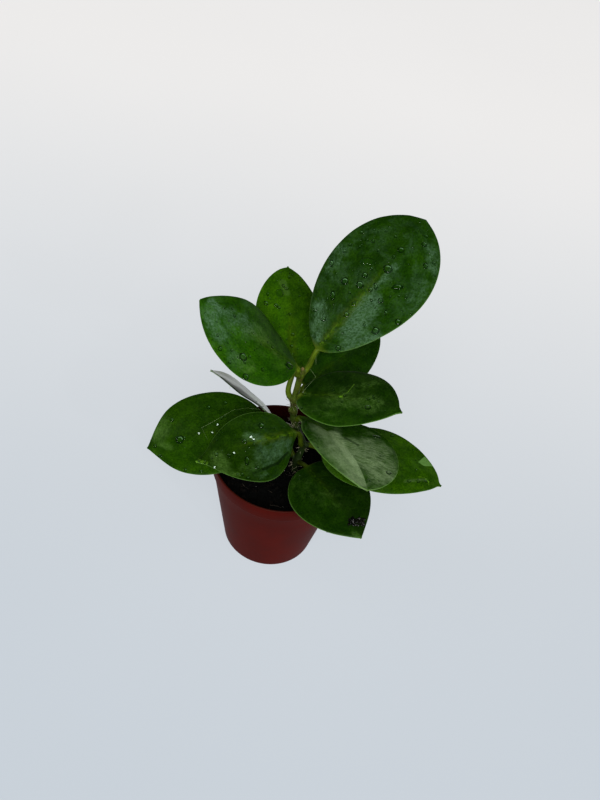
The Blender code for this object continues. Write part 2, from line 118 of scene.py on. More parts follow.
THREAD_TURN = 0.7                  # from one part to the next, in radians
THREAD_LIFT = 0.35 * MM
THREAD_LIFT_MORE = 0.25 * MM
THREAD_END = 0.45                  # a thread's last point is this much as thick as the rest
SOIL_SIDES = 160
SOIL_RINGS = 74

# Stem: points on its axis in millimetres, and what stands on it
STEM_AXIS = (
    (6.6, -0.2, 33.4), (6.6, -0.2, 47.0), (7.1, 0.4, 54.0), (8.1, 1.9, 63.0), (5.2, 2.6, 69.0),
    (2.3, 3.3, 76.0), (1.5, 2.7, 82.0), (0.9, 2.0, 88.0), (1.2, 2.3, 96.0), (1.6, 2.8, 103.0),
    (1.9, 3.1, 106.5),
)
STEM_STEPS = 6
STEM_NODES = (53.0, 63.0, 68.0, 76.0, 82.0, 88.0, 102.5)
CUSHION_REACH = 3.4 * MM
STALK_SINK = 1.0 * MM              # how far a stalk runs into its cushion

RIDGE_SIZE = 0.9 * MM
RIDGE_HEIGHT = 0.07
KNOB_SIZE = 0.6 * MM
KNOB_HEIGHT = 0.05
NODE_REACH = (0.8, 3.0)            # how far a node's cork spreads along the stem
CORK_RISE = (88.0, 99.0)           # between which heights the cork, the bud and the painted shade come in
BUD_RISE = (105.2, 106.2)
SHADE_RISE = (62.0, 96.0)
ROOTED_HEIGHTS = (49.0, 51.0, 61.0, 74.0, 76.0, 87.0)
HAIR_ROOT_RADIUS = 0.065 * MM
ROOTLET_SPREAD = 1.2               # up and down from its node, in millimetres as the next two are
ROOTLET_START = 1.4                # from the stem's axis
ROOTLET_REACH = (1.2, 2.6)
ROOTLET_TILT = 30                  # in degrees from level
ROOTLET_PARTS = 4
ROOTLET_BEND = 0.4
ROOT_SEED = 31

# Leaf blade: its lengths and angles, and the shares of its length where one form turns into another
STALK_RADIUS = 1.0 * MM
STALK_SWELLING = 0.2 * MM
STALK_STEP = 0.9 * MM
KEEL_DEPTH = 0.5 * MM
KEEL_FADE = 1.5
KEEL_SLOPE = 3
CUP = -10.0
LOBE_REACH = 0.2
LOBE_POWER = 1.5
LOBE_FADE = 3
NIB_WIDTH = 1.8
NIB_JOIN = 3
NIB_STARTS = 0.88
NIB_FULL = 0.95
POINT_ROUND = 8
TIP_RADIUS = 0.3 * MM
TOP_OPENS = 0.06
BELOW_OPENS = 0.25
FOLD_OPENS = 0.15
WAVE_HEIGHT = 0.4 * MM
WAVES = 1.5
WAVE_ONSET = 4
WAVE_STEP = 2.1
DROOP_POWER = 1.3
EDGE_ANGLE = 80.0
MIDRIB_STEPS = 120
ACROSS_HALF = (
    0.018, 0.04, 0.07, 0.12, 0.2, 0.29, 0.39, 0.49, 0.59, 0.68, 0.77, 0.85, 0.91, 0.955, 0.985, 1.0)
BASE_STATIONS = 8                  # steps of the midrib that are kept close at the base
TIP_STATIONS = 10                  # and at the tip
MARGIN_THINNING = 0.25
MARGIN_POWER = 16
LEAST_HALF = 0.015 * MM
VEIN_SPACING = 6.2                 # side veins, in millimetres on the flattened blade
VEIN_SLANT = 0.8
VEIN_CURVE = 0.012
HALF_BLEND = (-1.6, 1.6)           # across the midrib, where one half's painted shade, margin and streaks turn into the other's
HALO_REACH = (0.5, 3.2)            # how far out the olive halo and the midrib fade
HALO_FADE = (0.28, 0.70)           # and between which shares of the length
RIB_REACH = (0.2, 1.0)
RIB_FADE = (0.25, 0.72)
MARGIN_REACH = (0.1, 0.45)
PATCH_REACH = (-0.1, 0.25)
FACE_SPLIT = (0.35, 0.65)          # where the underside's colour turns into the upper side's
STALK_END = (-0.01, 0.035)
RIB_GROOVE = 0.10 * MM
RIB_HALF = 0.55 * MM
FOLD_ROUND = 2.2 * MM              # the fold along the midrib is this soft
SWELL = 0.16 * MM                  # gentle unevenness of the blade
SWELL_SIZE = 7.0 * MM

# Leaves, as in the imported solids. See leaf_frame, outline and blade_point for what the words do.
LEAVES = {
    "crown_right": dict(
        node=102.5, side=40, lift=42, base=(6.0, 6.0, 114.5), length=73.0, width=39.5,
        heading=53, rise=36, roll=4, droop=27, bend=10, twist=13, fold=8,
        shoulder=0.94, taper=0.75, lobe=-0.1, skew=0.0),
    "crown_left": dict(
        node=102.0, side=230, lift=42, base=(-0.5, -1.5, 110.0), length=45.5, width=33.5,
        heading=184, rise=35, roll=8, droop=10, bend=-14, twist=-29, fold=-4,
        shoulder=0.64, taper=0.83, lobe=-0.1, skew=0.05),
    "upper_back": dict(
        node=88.0, side=165, lift=38, base=(-2.0, 9.5, 99.0), length=47.5, width=27.5,
        heading=108, rise=29, roll=4, droop=19, bend=-8, twist=7, fold=7,
        shoulder=0.56, taper=0.67, lobe=0.2, skew=0.0),
    "upper_right": dict(
        node=88.0, side=-50, lift=38, base=(4.0, -2.5, 97.0), length=42.0, width=28.0,
        heading=-13, rise=25, roll=1, droop=12, bend=-11, twist=5, fold=9,
        shoulder=0.63, taper=0.63, lobe=0.4, skew=0.0),
    "middle_back": dict(
        node=82.0, side=75, lift=25, base=(4.0, 13.5, 86.0), length=41.0, width=25.5,
        heading=43, rise=28, roll=10, droop=15, bend=0, twist=0, fold=7,
        shoulder=0.50, taper=0.70, lobe=0.2, skew=0.0),
    "middle_right": dict(
        node=76.0, side=-50, lift=40, base=(4.5, 0.5, 80.5), length=52.5, width=33.5,
        heading=-32, rise=18, roll=-27, droop=31, bend=-34, twist=16, fold=9,
        shoulder=0.66, taper=0.59, lobe=-0.6, skew=0.2),
    "side_small": dict(
        node=68.0, side=150, lift=15, base=(-7.0, 7.0, 70.5), length=33.5, width=18.0,
        heading=151, rise=24, roll=50, droop=26, bend=-2, twist=-11, fold=4,
        shoulder=0.72, taper=0.68, lobe=0.1, skew=0.0),
    "lower_front": dict(
        node=63.0, side=250, lift=38, base=(4.5, -1.0, 72.5), length=44.0, width=28.0,
        heading=209, rise=3, roll=-34, droop=28, bend=11, twist=37, fold=6,
        shoulder=0.68, taper=0.76, lobe=-0.4, skew=0.15),
    "lower_right": dict(
        node=63.0, side=-10, lift=20, base=(17.5, -0.5, 64.5), length=51.5, width=29.0,
        heading=-8, rise=15, roll=6, droop=18, bend=-13, twist=2, fold=8,
        shoulder=0.61, taper=0.70, lobe=0.2, skew=0.0),
    "bottom_left": dict(
        node=53.0, side=150, lift=40, base=(-6.5, 8.0, 64.0), length=54.5, width=35.5,
        heading=201, rise=-1, roll=-10, droop=21, bend=1, twist=-12, fold=11,
        shoulder=0.68, taper=0.62, lobe=-0.2, skew=0.0),
    "bottom_front": dict(
        node=53.0, side=-55, lift=35, base=(11.5, -6.5, 58.5), length=40.5, width=30.5,
        heading=-50, rise=6, roll=6, droop=14, bend=1, twist=3, fold=8,
        shoulder=0.58, taper=0.72, lobe=0.1, skew=0.0),
}

# How each leaf looks. What an entry leaves out is as in PLAIN_LOOK.
# body: its green. halves: how bright the left and the right half are, which is painted shade. film:
# how thick the bloom is that dried water leaves, together with painted sheen where the leaf catches
# the light, film_and_sheen_colour: its colour at the base and at the tip, haze: how much of it lies all over,
# and mottle: how broken it is. streaks: dark lines in it along the side veins, and smooth_right: how
# free of them the right half is. rib: how clearly the midrib shows. edges: how pale the margin is,
# left and right. nib: the share of the length where the drawn-out tip starts, nib_more: how much
# wider that tip is, and point: how steeply straight lines cut the blade's round end, large for not at
# all. stalk: how bright the stalk is, which is painted shade. coat: how much of a clear sheen the
# leaf has. gloss: how strongly it mirrors. mist: how many fine droplets lie on it.
PLAIN_LOOK = dict(
    slot="leaf_dark", body="dark", film_and_sheen_colour=("fresh_film_and_sheen", "fresh_film_and_sheen"), streaks=0.0,
    smooth_right=0.0, nib=1.0, nib_more=0.0, point=99, coat=0.0)
LOOKS = {
    "crown_right": dict(
        painted_shade_halves=(0.74, 0.92), film_and_sheen=0.85, film_and_sheen_colour=("film_and_sheen", "film_and_sheen"), haze=0.34, mottle=0.75,
        streaks=0.3, rib=0.55, edges=(0.1, 0.4), stalk=0.68, gloss=0.06, mist=170),
    "crown_left": dict(
        painted_shade_halves=(1.48, 1.28), film_and_sheen=0.95, film_and_sheen_colour=("fresh_film_and_sheen", "film_and_sheen"), haze=0.3, mottle=0.75,
        streaks=0.25, rib=0.25, edges=(0.05, 1.0), stalk=0.8, gloss=0.02, mist=80),
    "upper_back": dict(
        slot="leaf_light", body="light", painted_shade_halves=(0.98, 0.7), film_and_sheen=0.7, haze=0.12, mottle=0.6, rib=0.45,
        edges=(0.1, 0.1), nib=0.985, nib_more=0.6, stalk=0.72, gloss=0.05, mist=50),
    "upper_right": dict(
        painted_shade_halves=(0.58, 0.95), film_and_sheen=0.9, haze=0.22, mottle=0.75, streaks=0.7, rib=0.25, edges=(0.05, 0.5),
        nib=0.955, nib_more=1.3, point=20, stalk=0.6, gloss=0.03, mist=40),
    "middle_back": dict(
        painted_shade_halves=(0.95, 0.75), film_and_sheen=0.5, film_and_sheen_colour=("film_and_sheen", "film_and_sheen"), haze=0.12, mottle=0.6, rib=0.2,
        edges=(0.05, 0.05), nib=0.98, stalk=0.7, gloss=0.04, mist=20),
    "middle_right": dict(
        slot="leaf_silver", painted_shade_halves=(1.1, 1.3), film_and_sheen=1.0, film_and_sheen_colour=("silver_sheen", "silver_sheen"), haze=0.3,
        mottle=0.25, streaks=0.7, smooth_right=0.85, rib=0.25, edges=(0.5, 0.8), stalk=0.5, gloss=0.0,
        mist=25),
    "side_small": dict(
        painted_shade_halves=(1.0, 1.0), film_and_sheen=1.0, film_and_sheen_colour=("silver_sheen", "silver_sheen"), haze=0.85, mottle=0.25,
        streaks=0.2, rib=0.3, edges=(0.0, 0.0), nib=0.97, stalk=0.5, coat=1.0, gloss=0.5, mist=10),
    "lower_front": dict(
        body="fresh", painted_shade_halves=(0.58, 0.6), film_and_sheen=0.72, film_and_sheen_colour=("film_and_sheen", "fresh_film_and_sheen"), haze=0.13,
        mottle=0.65, streaks=0.2, rib=0.6, edges=(0.35, 0.9), nib=0.955, nib_more=0.9, point=3.6,
        stalk=0.45, gloss=0.03, mist=45),
    "lower_right": dict(
        slot="leaf_light", body="light", painted_shade_halves=(0.72, 0.75), film_and_sheen=0.9,
        film_and_sheen_colour=("silver_sheen", "silver_sheen"), haze=0.04, mottle=0.3, rib=0.2, edges=(0.15, 0.15), nib=0.975,
        nib_more=0.9, stalk=0.5, gloss=0.04, mist=30),
    "bottom_left": dict(
        body="fresh", painted_shade_halves=(0.98, 0.74), film_and_sheen=0.8, haze=0.12, mottle=0.6, rib=0.3, edges=(0.15, 0.1),
        point=4.2, stalk=0.35, gloss=0.03, mist=55),
    "bottom_front": dict(
        painted_shade_halves=(0.4, 0.62), film_and_sheen=0.5, haze=0.14, mottle=0.75, streaks=0.1, rib=0.15, edges=(0.05, 0.45),
        point=3.4, stalk=0.3, gloss=0.04, mist=25),
}

# The film is partly dried water and partly painted sheen where the leaves catch the light.
# Where the film is thick, as strokes: the pixels at both ends, read from the photo or given,
# then the half width in millimetres and the strength, both judged
FILM_AND_SHEEN = {
    "crown_right": (
        ((352, 332), (370, 302), 4.6, 1.0), ((345, 345), (376, 336), 2.6, 0.7),
        ((316, 338), (320, 305), 3.0, 0.65), ((330, 272), (340, 250), 3.0, 0.5),
        ((374, 290), (395, 267), 1.5, 0.8), ((430, 248), (434, 272), 2.6, 0.6),
        ((410, 305), (425, 285), 3.0, 0.45)),
    "crown_left": (
        ((212, 301), (222, 312), 1.6, 0.9), ((211, 312), (220, 335), 3.2, 0.7),
        ((232, 318), (262, 335), 5.0, 0.6), ((236, 358), (248, 366), 3.2, 0.62),
        ((268, 340), (276, 352), 2.8, 0.5)),
    "upper_back": (((283, 283), (286, 292), 1.8, 1.0),),
    "upper_right": (
        ((335, 400), (372, 405), 4.6, 0.66), ((303, 393), (309, 395), 1.4, 0.6),
        ((332, 394), (376, 384), 2.6, 0.4), ((304, 408), (336, 416), 3.6, 0.38)),
    "middle_right": (
        ((334, 434), (342, 446), 2.6, 1.0), ((342, 446), (355, 463), 2.8, 1.0),
        ((355, 463), (362, 476), 2.2, 0.72), ((324, 430), (340, 456), 6.5, 0.58),
        ((340, 456), (360, 478), 6.5, 0.62), ((356, 449), (380, 470), 8.0, 0.60),
        ((366, 446), (384, 462), 5.0, 0.5), ((370, 443), (386, 450), 4.0, 0.5),
        ((374, 474), (388, 474), 4.0, 0.5)),
    "lower_front": (
        ((262, 458), (285, 445), 4.4, 0.62), ((247, 436), (262, 440), 2.2, 0.7),
        ((216, 456), (225, 469), 3.0, 0.8), ((245, 468), (262, 472), 3.4, 0.4),
        ((224, 473.3), (237.5, 474.6), 1.0, 0.7)),
    "lower_right": (((405, 481), (426, 480), 1.0, 0.3),),
    "bottom_left": (((162, 425), (158, 435), 4.0, 0.6), ((160, 443), (170, 447), 1.8, 0.6)),
    "bottom_front": (((300, 484), (330, 500), 6.0, 0.34), ((355, 534), (360, 537), 1.4, 0.6)),
}

# Leaves whose film and painted sheen stop at the midrib
SPLIT_FILM_AND_SHEEN = ("crown_right", "middle_right")

# A pale patch of painted light with sharp sides: the pixels of its corners, read from the photo
PAINTED_LIGHT_PATCH = {
    "lower_right": (
        (417.9, 462.1), (424.0, 466.2), (434.0, 466.5), (430.4, 458.8), (424.7, 456.2)),
}

# The crease marks are painted shade.
# Thin marks, as strokes like the film: the pixels at both ends, read from the photo, then the half
# width in millimetres and the strength, both judged, and which mark it is
LINES = {
    "upper_right": (
        ((340.0, 396.7), (348.3, 391.7), 0.25, 0.5, "scratch"),
        ((348.3, 391.7), (354.2, 384.2), 0.25, 0.4, "scratch"),
        # The last mark is a painted highlight where a drop lies.
        ((339.2, 397.0), (341.2, 396.8), 0.95, 0.9, "scratch")),
    "middle_right": (((345.1, 438.1), (358.2, 445.0), 0.9, 0.55, "crease_shade"),),
    "side_small": (
        ((221.9, 378.5), (238.0, 389.6), 2.0, 0.9, "crease_shade"),
        ((238.0, 389.6), (251.2, 400.0), 4.5, 0.9, "crease_shade"),
        ((251.2, 400.0), (260.4, 406.2), 2.5, 0.9, "crease_shade"),
        ((246.5, 388.0), (252.7, 393.0), 3.0, 0.45, "crease_shade")),
    "lower_front": (
        ((195.0, 461.5), (206.0, 463.0), 1.3, 0.4, "scratch"),
        ((196.7, 457.5), (195.0, 461.5), 0.8, 0.5, "scratch"),
        ((287.5, 452.5), (277.5, 463.3), 0.8, 0.8, "crease_shade"),
        ((277.5, 463.3), (263.3, 469.2), 0.8, 0.8, "crease_shade"),
        ((263.3, 469.2), (253.3, 473.3), 0.7, 0.5, "crease_shade")),
    "lower_right": (
        ((419.0, 476.9), (424.0, 477.4), 0.35, 0.6, "scratch"),
        ((424.0, 477.4), (428.5, 481.5), 0.35, 0.7, "scratch"),
        ((428.5, 481.5), (428.8, 484.6), 0.35, 0.7, "scratch")),
}

# The photo's camera, worked out from the pot's rim. Pixels are those of the 600 x 800 frame.
IMAGE_MIDDLE = (300.0, 400.0)
FOCAL_PIXELS = 800.0
RIM_PIXEL = (281.5, 455.4)
RIM_DISTANCE = 348.0 * MM
CAMERA_ELEVATION = 46.1
CAMERA_ROLL = 11.2
SENSOR = 36.0

# Water drops read from the photo: pixel across and down, then width and height in pixels
DROPS = {
    "crown_right": (
        (401.0, 250.4, 7, 7), (367.3, 262.1, 17, 9), (387.8, 269.3, 10, 10), (364.8, 275.4, 6, 6),
        (344.9, 281.5, 8, 8), (359.7, 285.1, 8, 8), (370.4, 289.7, 5, 5), (397.4, 287.4, 12, 6),
        (332.7, 295.8, 5, 10), (375.5, 286.6, 4, 8), (380.6, 300.9, 6, 6), (346.4, 314.7, 6, 6),
        (385.7, 313.2, 3, 6), (398.0, 322.3, 10, 10), (411.7, 313.7, 4, 6), (375.5, 331.0, 8, 8),
        (425.5, 266.2, 5, 7), (424.0, 244.8, 6, 6), (338.3, 348.4, 6, 6), (323.5, 319.3, 5, 5),
        (331.6, 263.7, 4, 8)),
    "crown_left": ((220.0, 348.9, 5, 5), (242.7, 357.2, 9, 9), (245.5, 377.0, 9, 9), (288.9, 366.0, 9, 9)),
    "upper_back": ((279.7, 293.4, 9, 9), (265.8, 303.5, 5, 5)),
    "upper_right": ((340.5, 397.1, 5, 5), (373.2, 397.6, 3, 3), (367.9, 407.6, 7, 7)),
    "middle_right": ((376.8, 437.1, 8, 5), (388.4, 472.9, 6, 6)),
    "lower_front": ((261.4, 425.8, 6, 6), (244.6, 441.6, 5, 5), (247.0, 461.0, 5, 10)),
    "bottom_left": ((180.0, 440.0, 9, 9),),
}

# Drops whose place could be read but not their size, which is drawn between these two, in pixels
UNSIZED = (2.6, 4.4)
DROPLETS = {
    "crown_right": (
        (361.7, 232.6), (395.4, 236.6), (350.0, 244.8), (360.2, 246.8), (344.4, 251.4), (378.1, 250.4),
        (393.4, 257.0), (371.4, 268.8), (349.5, 292.8), (371.4, 300.4), (390.3, 296.8), (399.0, 296.3),
        (406.1, 296.8), (353.6, 304.0), (364.3, 324.9), (433.7, 263.2), (434.7, 275.4), (426.5, 236.6),
        (314.8, 310.1), (314.3, 337.1), (366.8, 240.2), (373.0, 241.2)),
    "crown_left": (
        (232.5, 309.1), (234.4, 316.0), (217.7, 335.4), (231.6, 350.2), (244.6, 362.3), (249.6, 356.7),
        (262.6, 369.7), (229.8, 362.3), (272.3, 347.5)),
    "upper_back": (
        (267.7, 294.3), (286.6, 288.7), (283.4, 286.0), (288.9, 277.2), (276.0, 305.4), (278.8, 307.7),
        (289.9, 314.2), (292.6, 334.5), (291.7, 346.5)),
    "upper_right": ((344.7, 396.0), (342.1, 401.8), (368.4, 399.2), (301.6, 408.2), (304.0, 394.0)),
    "middle_back": ((359.5, 369.2),),
    "lower_front": (
        (253.8, 444.8), (233.2, 453.5), (229.4, 455.6), (216.4, 454.6),
        (205.0, 462.2), (237.6, 474.6), (241.9, 474.6), (259.3, 479.5), (257.6, 467.6),
        (248.0, 478.0)),
    "lower_right": ((392.1, 436.0), (409.0, 481.3), (418.0, 481.3), (425.8, 481.3)),
    "bottom_left": (
        (225.1, 403.1), (208.3, 407.4), (172.0, 419.9), (176.9, 438.3), (184.4, 438.3), (155.0, 446.0),
        (160.0, 455.6), (185.5, 470.3), (200.7, 471.4), (221.3, 418.2), (224.6, 416.6)),
}

# What the third part of a drop's form attribute says: a plain dark spot, a usual drop or a glint
QUIET_DROP = -1.0
USUAL_DROP = 0.0
GLINT_DROP = 1.0
LIT_SIDE = (0.9, 1.8)              # a drop catches the light to its right and above

# Parts of a drop, as shares of the way from its middle to its margin: its painted dark rim, its painted
# crescent of light and its painted glint
RIM_BAND = (0.45, 0.74)
CRESCENT_START = (0.22, 0.46)
CRESCENT_END = (0.58, 0.78)
GLINT_END = (0.36, 0.62)

# The model of a drop, one unit wide, and the mist thrown on the blades
DROP_RIPPLES = 2.4                 # how close together the waves of its outline are
DROP_WAVINESS = 0.28
DROP_RAISED = 0.18                 # the sphere's middle stands this far above the leaf
MIST_STATIONS = (8, MIDRIB_STEPS - 4)
MIST_ACROSS = 0.94                 # how far out droplets lie, as a share of the half width
MIST_STRETCH = (1.0, 1.5)
MIST_POWER = 2.5                   # the higher, the more of the droplets are small

# Which of the drops show as plain dark spots, by their place
QUIET = ((367.3, 262.1), (279.7, 293.4), (340.5, 397.1))

# The brightest drops, white in the photo, which get a painted glint. Their size in pixels is a guess.
GLINT_SIZE = UNSIZED[1] * 0.75
GLINTS = {
    "lower_front": ((251.1, 436.7), (253.8, 439.4), (234.0, 453.3), (214.8, 467.6)),
    "bottom_left": ((217.5, 424.7), (212.1, 432.9), (199.1, 433.4)),
}

# Loose hairs read from the photo: the leaf that each lies on, then the pixels it runs through
HAIR_RADIUS = 0.04 * MM
HAIR_LIFT = 0.12 * MM
HAIRS = (
    ("upper_right", ((300.0, 395.0), (316.0, 377.0), (310.0, 369.0))),
    ("bottom_left", ((201.8, 427.5), (216.0, 420.0), (233.2, 410.1), (248.4, 407.9), (264.7, 410.1))),
    ("bottom_left", ((201.8, 427.5), (207.2, 439.4))),
    ("upper_back", ((316.0, 352.0), (316.0, 365.0))),
    ("side_small", ((230.5, 385.8), (229.4, 388.9))),
)

# Soil splashed on the front leaf: the middle in pixels, read from the photo, then by guess half the
# spread in pixels, how many crumbs and the largest in millimetres
SPLASH_SEED = 4
SPLASHES = (
    ((357.0, 522.0), (7.5, 3.6), 60, 2.1),
    ((327.0, 534.0), (3.0, 1.5), 5, 0.7),
)

# Floor: a wide dish, in metres, with its tone running from near to far between two places along Y
FLOOR_FLAT = 1.6
FLOOR_RISE = 1.0
FLOOR_BEND = 1.2
FLOOR_STEPS = 12
FLOOR_TONES = (-0.21, 0.52)
FLOOR_LIGHT = 0.95                 # about how bright the lamps and the room make a white floor

# Room: its light level with the plant and, from this height on, above it
ROOM_LEVEL = (0.95, 0.97, 1.0, 1.0)
ROOM_ABOVE = (0.22, 0.235, 0.25, 1.0)
ROOM_ABOVE_FROM = 0.85

# Soft lamps round the plant: azimuth from +X towards +Y and elevation in degrees, distance and size
# in metres, share of the power and colour. The main one stands near the camera's line, and the
# others are judged.
LAMP_AIM = (0, 0, 0.08)
LAMPS = {
    "front_lamp": (-90.0, 44.0, 2.2, 1.6, 1.0, (1.0, 1.0, 0.98)),
    "left_lamp": (-178.0, 30.0, 1.4, 0.8, 0.07, (1.0, 0.99, 0.97)),
    "right_lamp": (-14.0, 26.0, 1.4, 0.8, 0.06, (0.95, 0.98, 1.0)),
    "window": (-48.0, 34.0, 1.5, 0.10, 0.06, (1.0, 1.0, 1.0)),
}


def tint(name, description, default):
    """A colour that the user can change."""
    return FloatVectorProperty(
        name=name, description=description, default=default, subtype="COLOR", min=0.0, max=1.0)


class HoyaPotSettings(bpy.types.PropertyGroup):
    """Size of the pot's skin and its colours"""
    sides: IntProperty(
        name="Sides", description="Flat faces round the pot", default=144, min=24, max=256)
    lip_round: FloatProperty(
        name="Lip Round", description="Radius of the lip's corners",
        default=LIP_ROUND, min=0.0001, unit="LENGTH")
    colour: tint("Plastic", "Colour of the pot's plastic", (0.054, 0.0038, 0.0016))
    worn_colour: tint(
        "Worn Plastic", "Colour where the plastic is rubbed and along the lip", (0.080, 0.018, 0.011))
    roughness: FloatProperty(
        name="Roughness", description="How matt the plastic is",
        default=0.42, min=0.0, max=1.0, subtype="FACTOR")


class HoyaSoilSettings(bpy.types.PropertyGroup):
    """Relief and bits of the potting soil"""
    relief: FloatProperty(
        name="Relief", description="Height of the soil's heaps and hollows",
        default=1.1 * MM, min=0.0, unit="LENGTH")
    crumbs: IntProperty(
        name="Crumbs", description="How many loose crumbs and bark bits lie on the soil",
        default=620, min=0, max=2000)
    specks: IntProperty(
        name="Pale Specks", description="How many grains of perlite and sand show",
        default=34, min=0, max=500)
    threads: IntProperty(
        name="Threads", description="How many root and moss threads lie on the soil",
        default=26, min=0, max=300)
    colour: tint("Soil", "Colour of the damp soil", (0.0013, 0.0015, 0.0013))
    bark_colour: tint("Bark", "Colour of the drier bits of bark", (0.008, 0.0058, 0.004))
    seed: IntProperty(name="Seed", description="Start of the random draws", default=5)


class HoyaStemSettings(bpy.types.PropertyGroup):
    """Finish of the stem and its roots"""
    voxel: FloatProperty(
        name="Skin Detail", description="Size of the faces of the stem's skin",
        default=0.24 * MM, min=0.1 * MM, unit="LENGTH")
    green: tint("Green", "Colour of the young stem", (0.046, 0.072, 0.006))
    brown: tint("Brown", "Colour of the corky nodes", (0.044, 0.036, 0.009))
    rootlets: IntProperty(
        name="Rootlets", description="Fine aerial roots at each low node",
        default=16, min=0, max=60)


class HoyaLeafSettings(bpy.types.PropertyGroup):
    """Thickness and colours of the leaves"""
    thickness: FloatProperty(
        name="Thickness", description="Thickness of a blade beside its midrib",
        default=0.86 * MM, min=0.3 * MM, unit="LENGTH")
    dark: tint("Dark", "Green of the older leaves", (0.0085, 0.0360, 0.0012))
    fresh: tint("Fresh", "Green of the two lower left leaves", (0.0115, 0.0430, 0.0010))
    light: tint("Light", "Green of the young leaves", (0.0200, 0.0700, 0.0012))
    # The film colours stand partly for dried water and partly for painted sheen.
    film_and_sheen: tint("Film", "Colour of the dried water film on the leaves", (0.066, 0.122, 0.070))
    fresh_film_and_sheen: tint(
        "Fresh Film", "Colour of the film where the leaf's green shows through", (0.062, 0.118, 0.026))
    # Painted sheen: this pale colour stands in for the sheen that some leaves reflect.
    silver_sheen: tint("Silver", "Colour of the silver sheen on some leaves", (0.205, 0.275, 0.150))
    # Painted light: the colour of the pale patch painted on the lower right leaf.
    sheen: tint("Sheen", "Colour of the pale patch on the lower right leaf", (0.085, 0.165, 0.045))
    # Painted shade: the colour of the creases where shade falls.
    crease_shade: tint("Crease", "Colour of the dark creases", (0.0035, 0.0110, 0.0020))
    scratch: tint("Scratch", "Colour of the thin pale marks", (0.120, 0.240, 0.018))
    margin: tint("Margin", "Colour of the thin line along the margin", (0.075, 0.150, 0.030))
    rib: tint("Midrib", "Colour of the midrib", (0.052, 0.112, 0.003))
    below: tint("Underside", "Colour of the underside", (0.125, 0.170, 0.085))
    stalk: tint("Stalk", "Colour of the stalks", (0.090, 0.135, 0.010))


class HoyaWaterSettings(bpy.types.PropertyGroup):
    """Drops of water on the leaves"""
    height: FloatProperty(
        name="Height", description="Height of a drop as a share of its width",
        default=0.27, min=0.1, max=0.6, subtype="FACTOR")
    small: FloatProperty(
        name="Smallest", description="Width of the smallest droplet",
        default=0.22 * MM, min=0.05 * MM, unit="LENGTH")
    large: FloatProperty(
        name="Largest", description="Width of the largest of the fine droplets",
        default=0.85 * MM, min=0.1 * MM, unit="LENGTH")
    seed: IntProperty(name="Seed", description="Start of the random draws", default=23)


class HoyaStageSettings(bpy.types.PropertyGroup):
    """Floor, lights and camera"""
    far_colour: tint("Far Floor", "Colour of the floor behind the plant", (0.746, 0.737, 0.731))
    near_colour: tint("Near Floor", "Colour of the floor in front of the plant", (0.485, 0.532, 0.582))
    floor_glow: FloatProperty(
        name="Floor Glow", description="Share of the floor's light that is its own, which keeps shadows pale",
        default=0.9, min=0.0, max=1.0, subtype="FACTOR")
    lamp_power: FloatProperty(
        name="Lamp Power", description="Power of the brightest lamp in watts",
        default=60.0, min=0.0)
    sky: FloatProperty(
        name="Sky", description="Brightness of the pale room round the plant",
        default=0.30, min=0.0)


# Shader maths

class Wire:
    """A node's output. Sums and products of it add Math nodes."""

    def __init__(self, finish, socket):
        self.finish = finish
        self.socket = socket

    def maths(self, operation, *values):
        settings = {"operation": operation}
        return self.finish.node("ShaderNodeMath", settings, dict(enumerate(values)))

    def __add__(self, other):
        return self.maths("ADD", self, other)

    def __radd__(self, other):
        return self.maths("ADD", other, self)

    def __sub__(self, other):
        return self.maths("SUBTRACT", self, other)

    def __rsub__(self, other):
        return self.maths("SUBTRACT", other, self)

    def __mul__(self, other):
        return self.maths("MULTIPLY", self, other)

    def __rmul__(self, other):
        return self.maths("MULTIPLY", other, self)

    def __pow__(self, other):
        return self.maths("POWER", self, other)

    def __abs__(self):
        return self.maths("ABSOLUTE", self)

    def sine(self):
        return self.maths("SINE", self)

    def step(self, low, high):
        """0 below low, 1 above high and smooth between them."""
        settings = {"interpolation_type": "SMOOTHSTEP"}
        links = {"Value": self, "From Min": low, "From Max": high}
        return self.finish.node("ShaderNodeMapRange", settings, links)


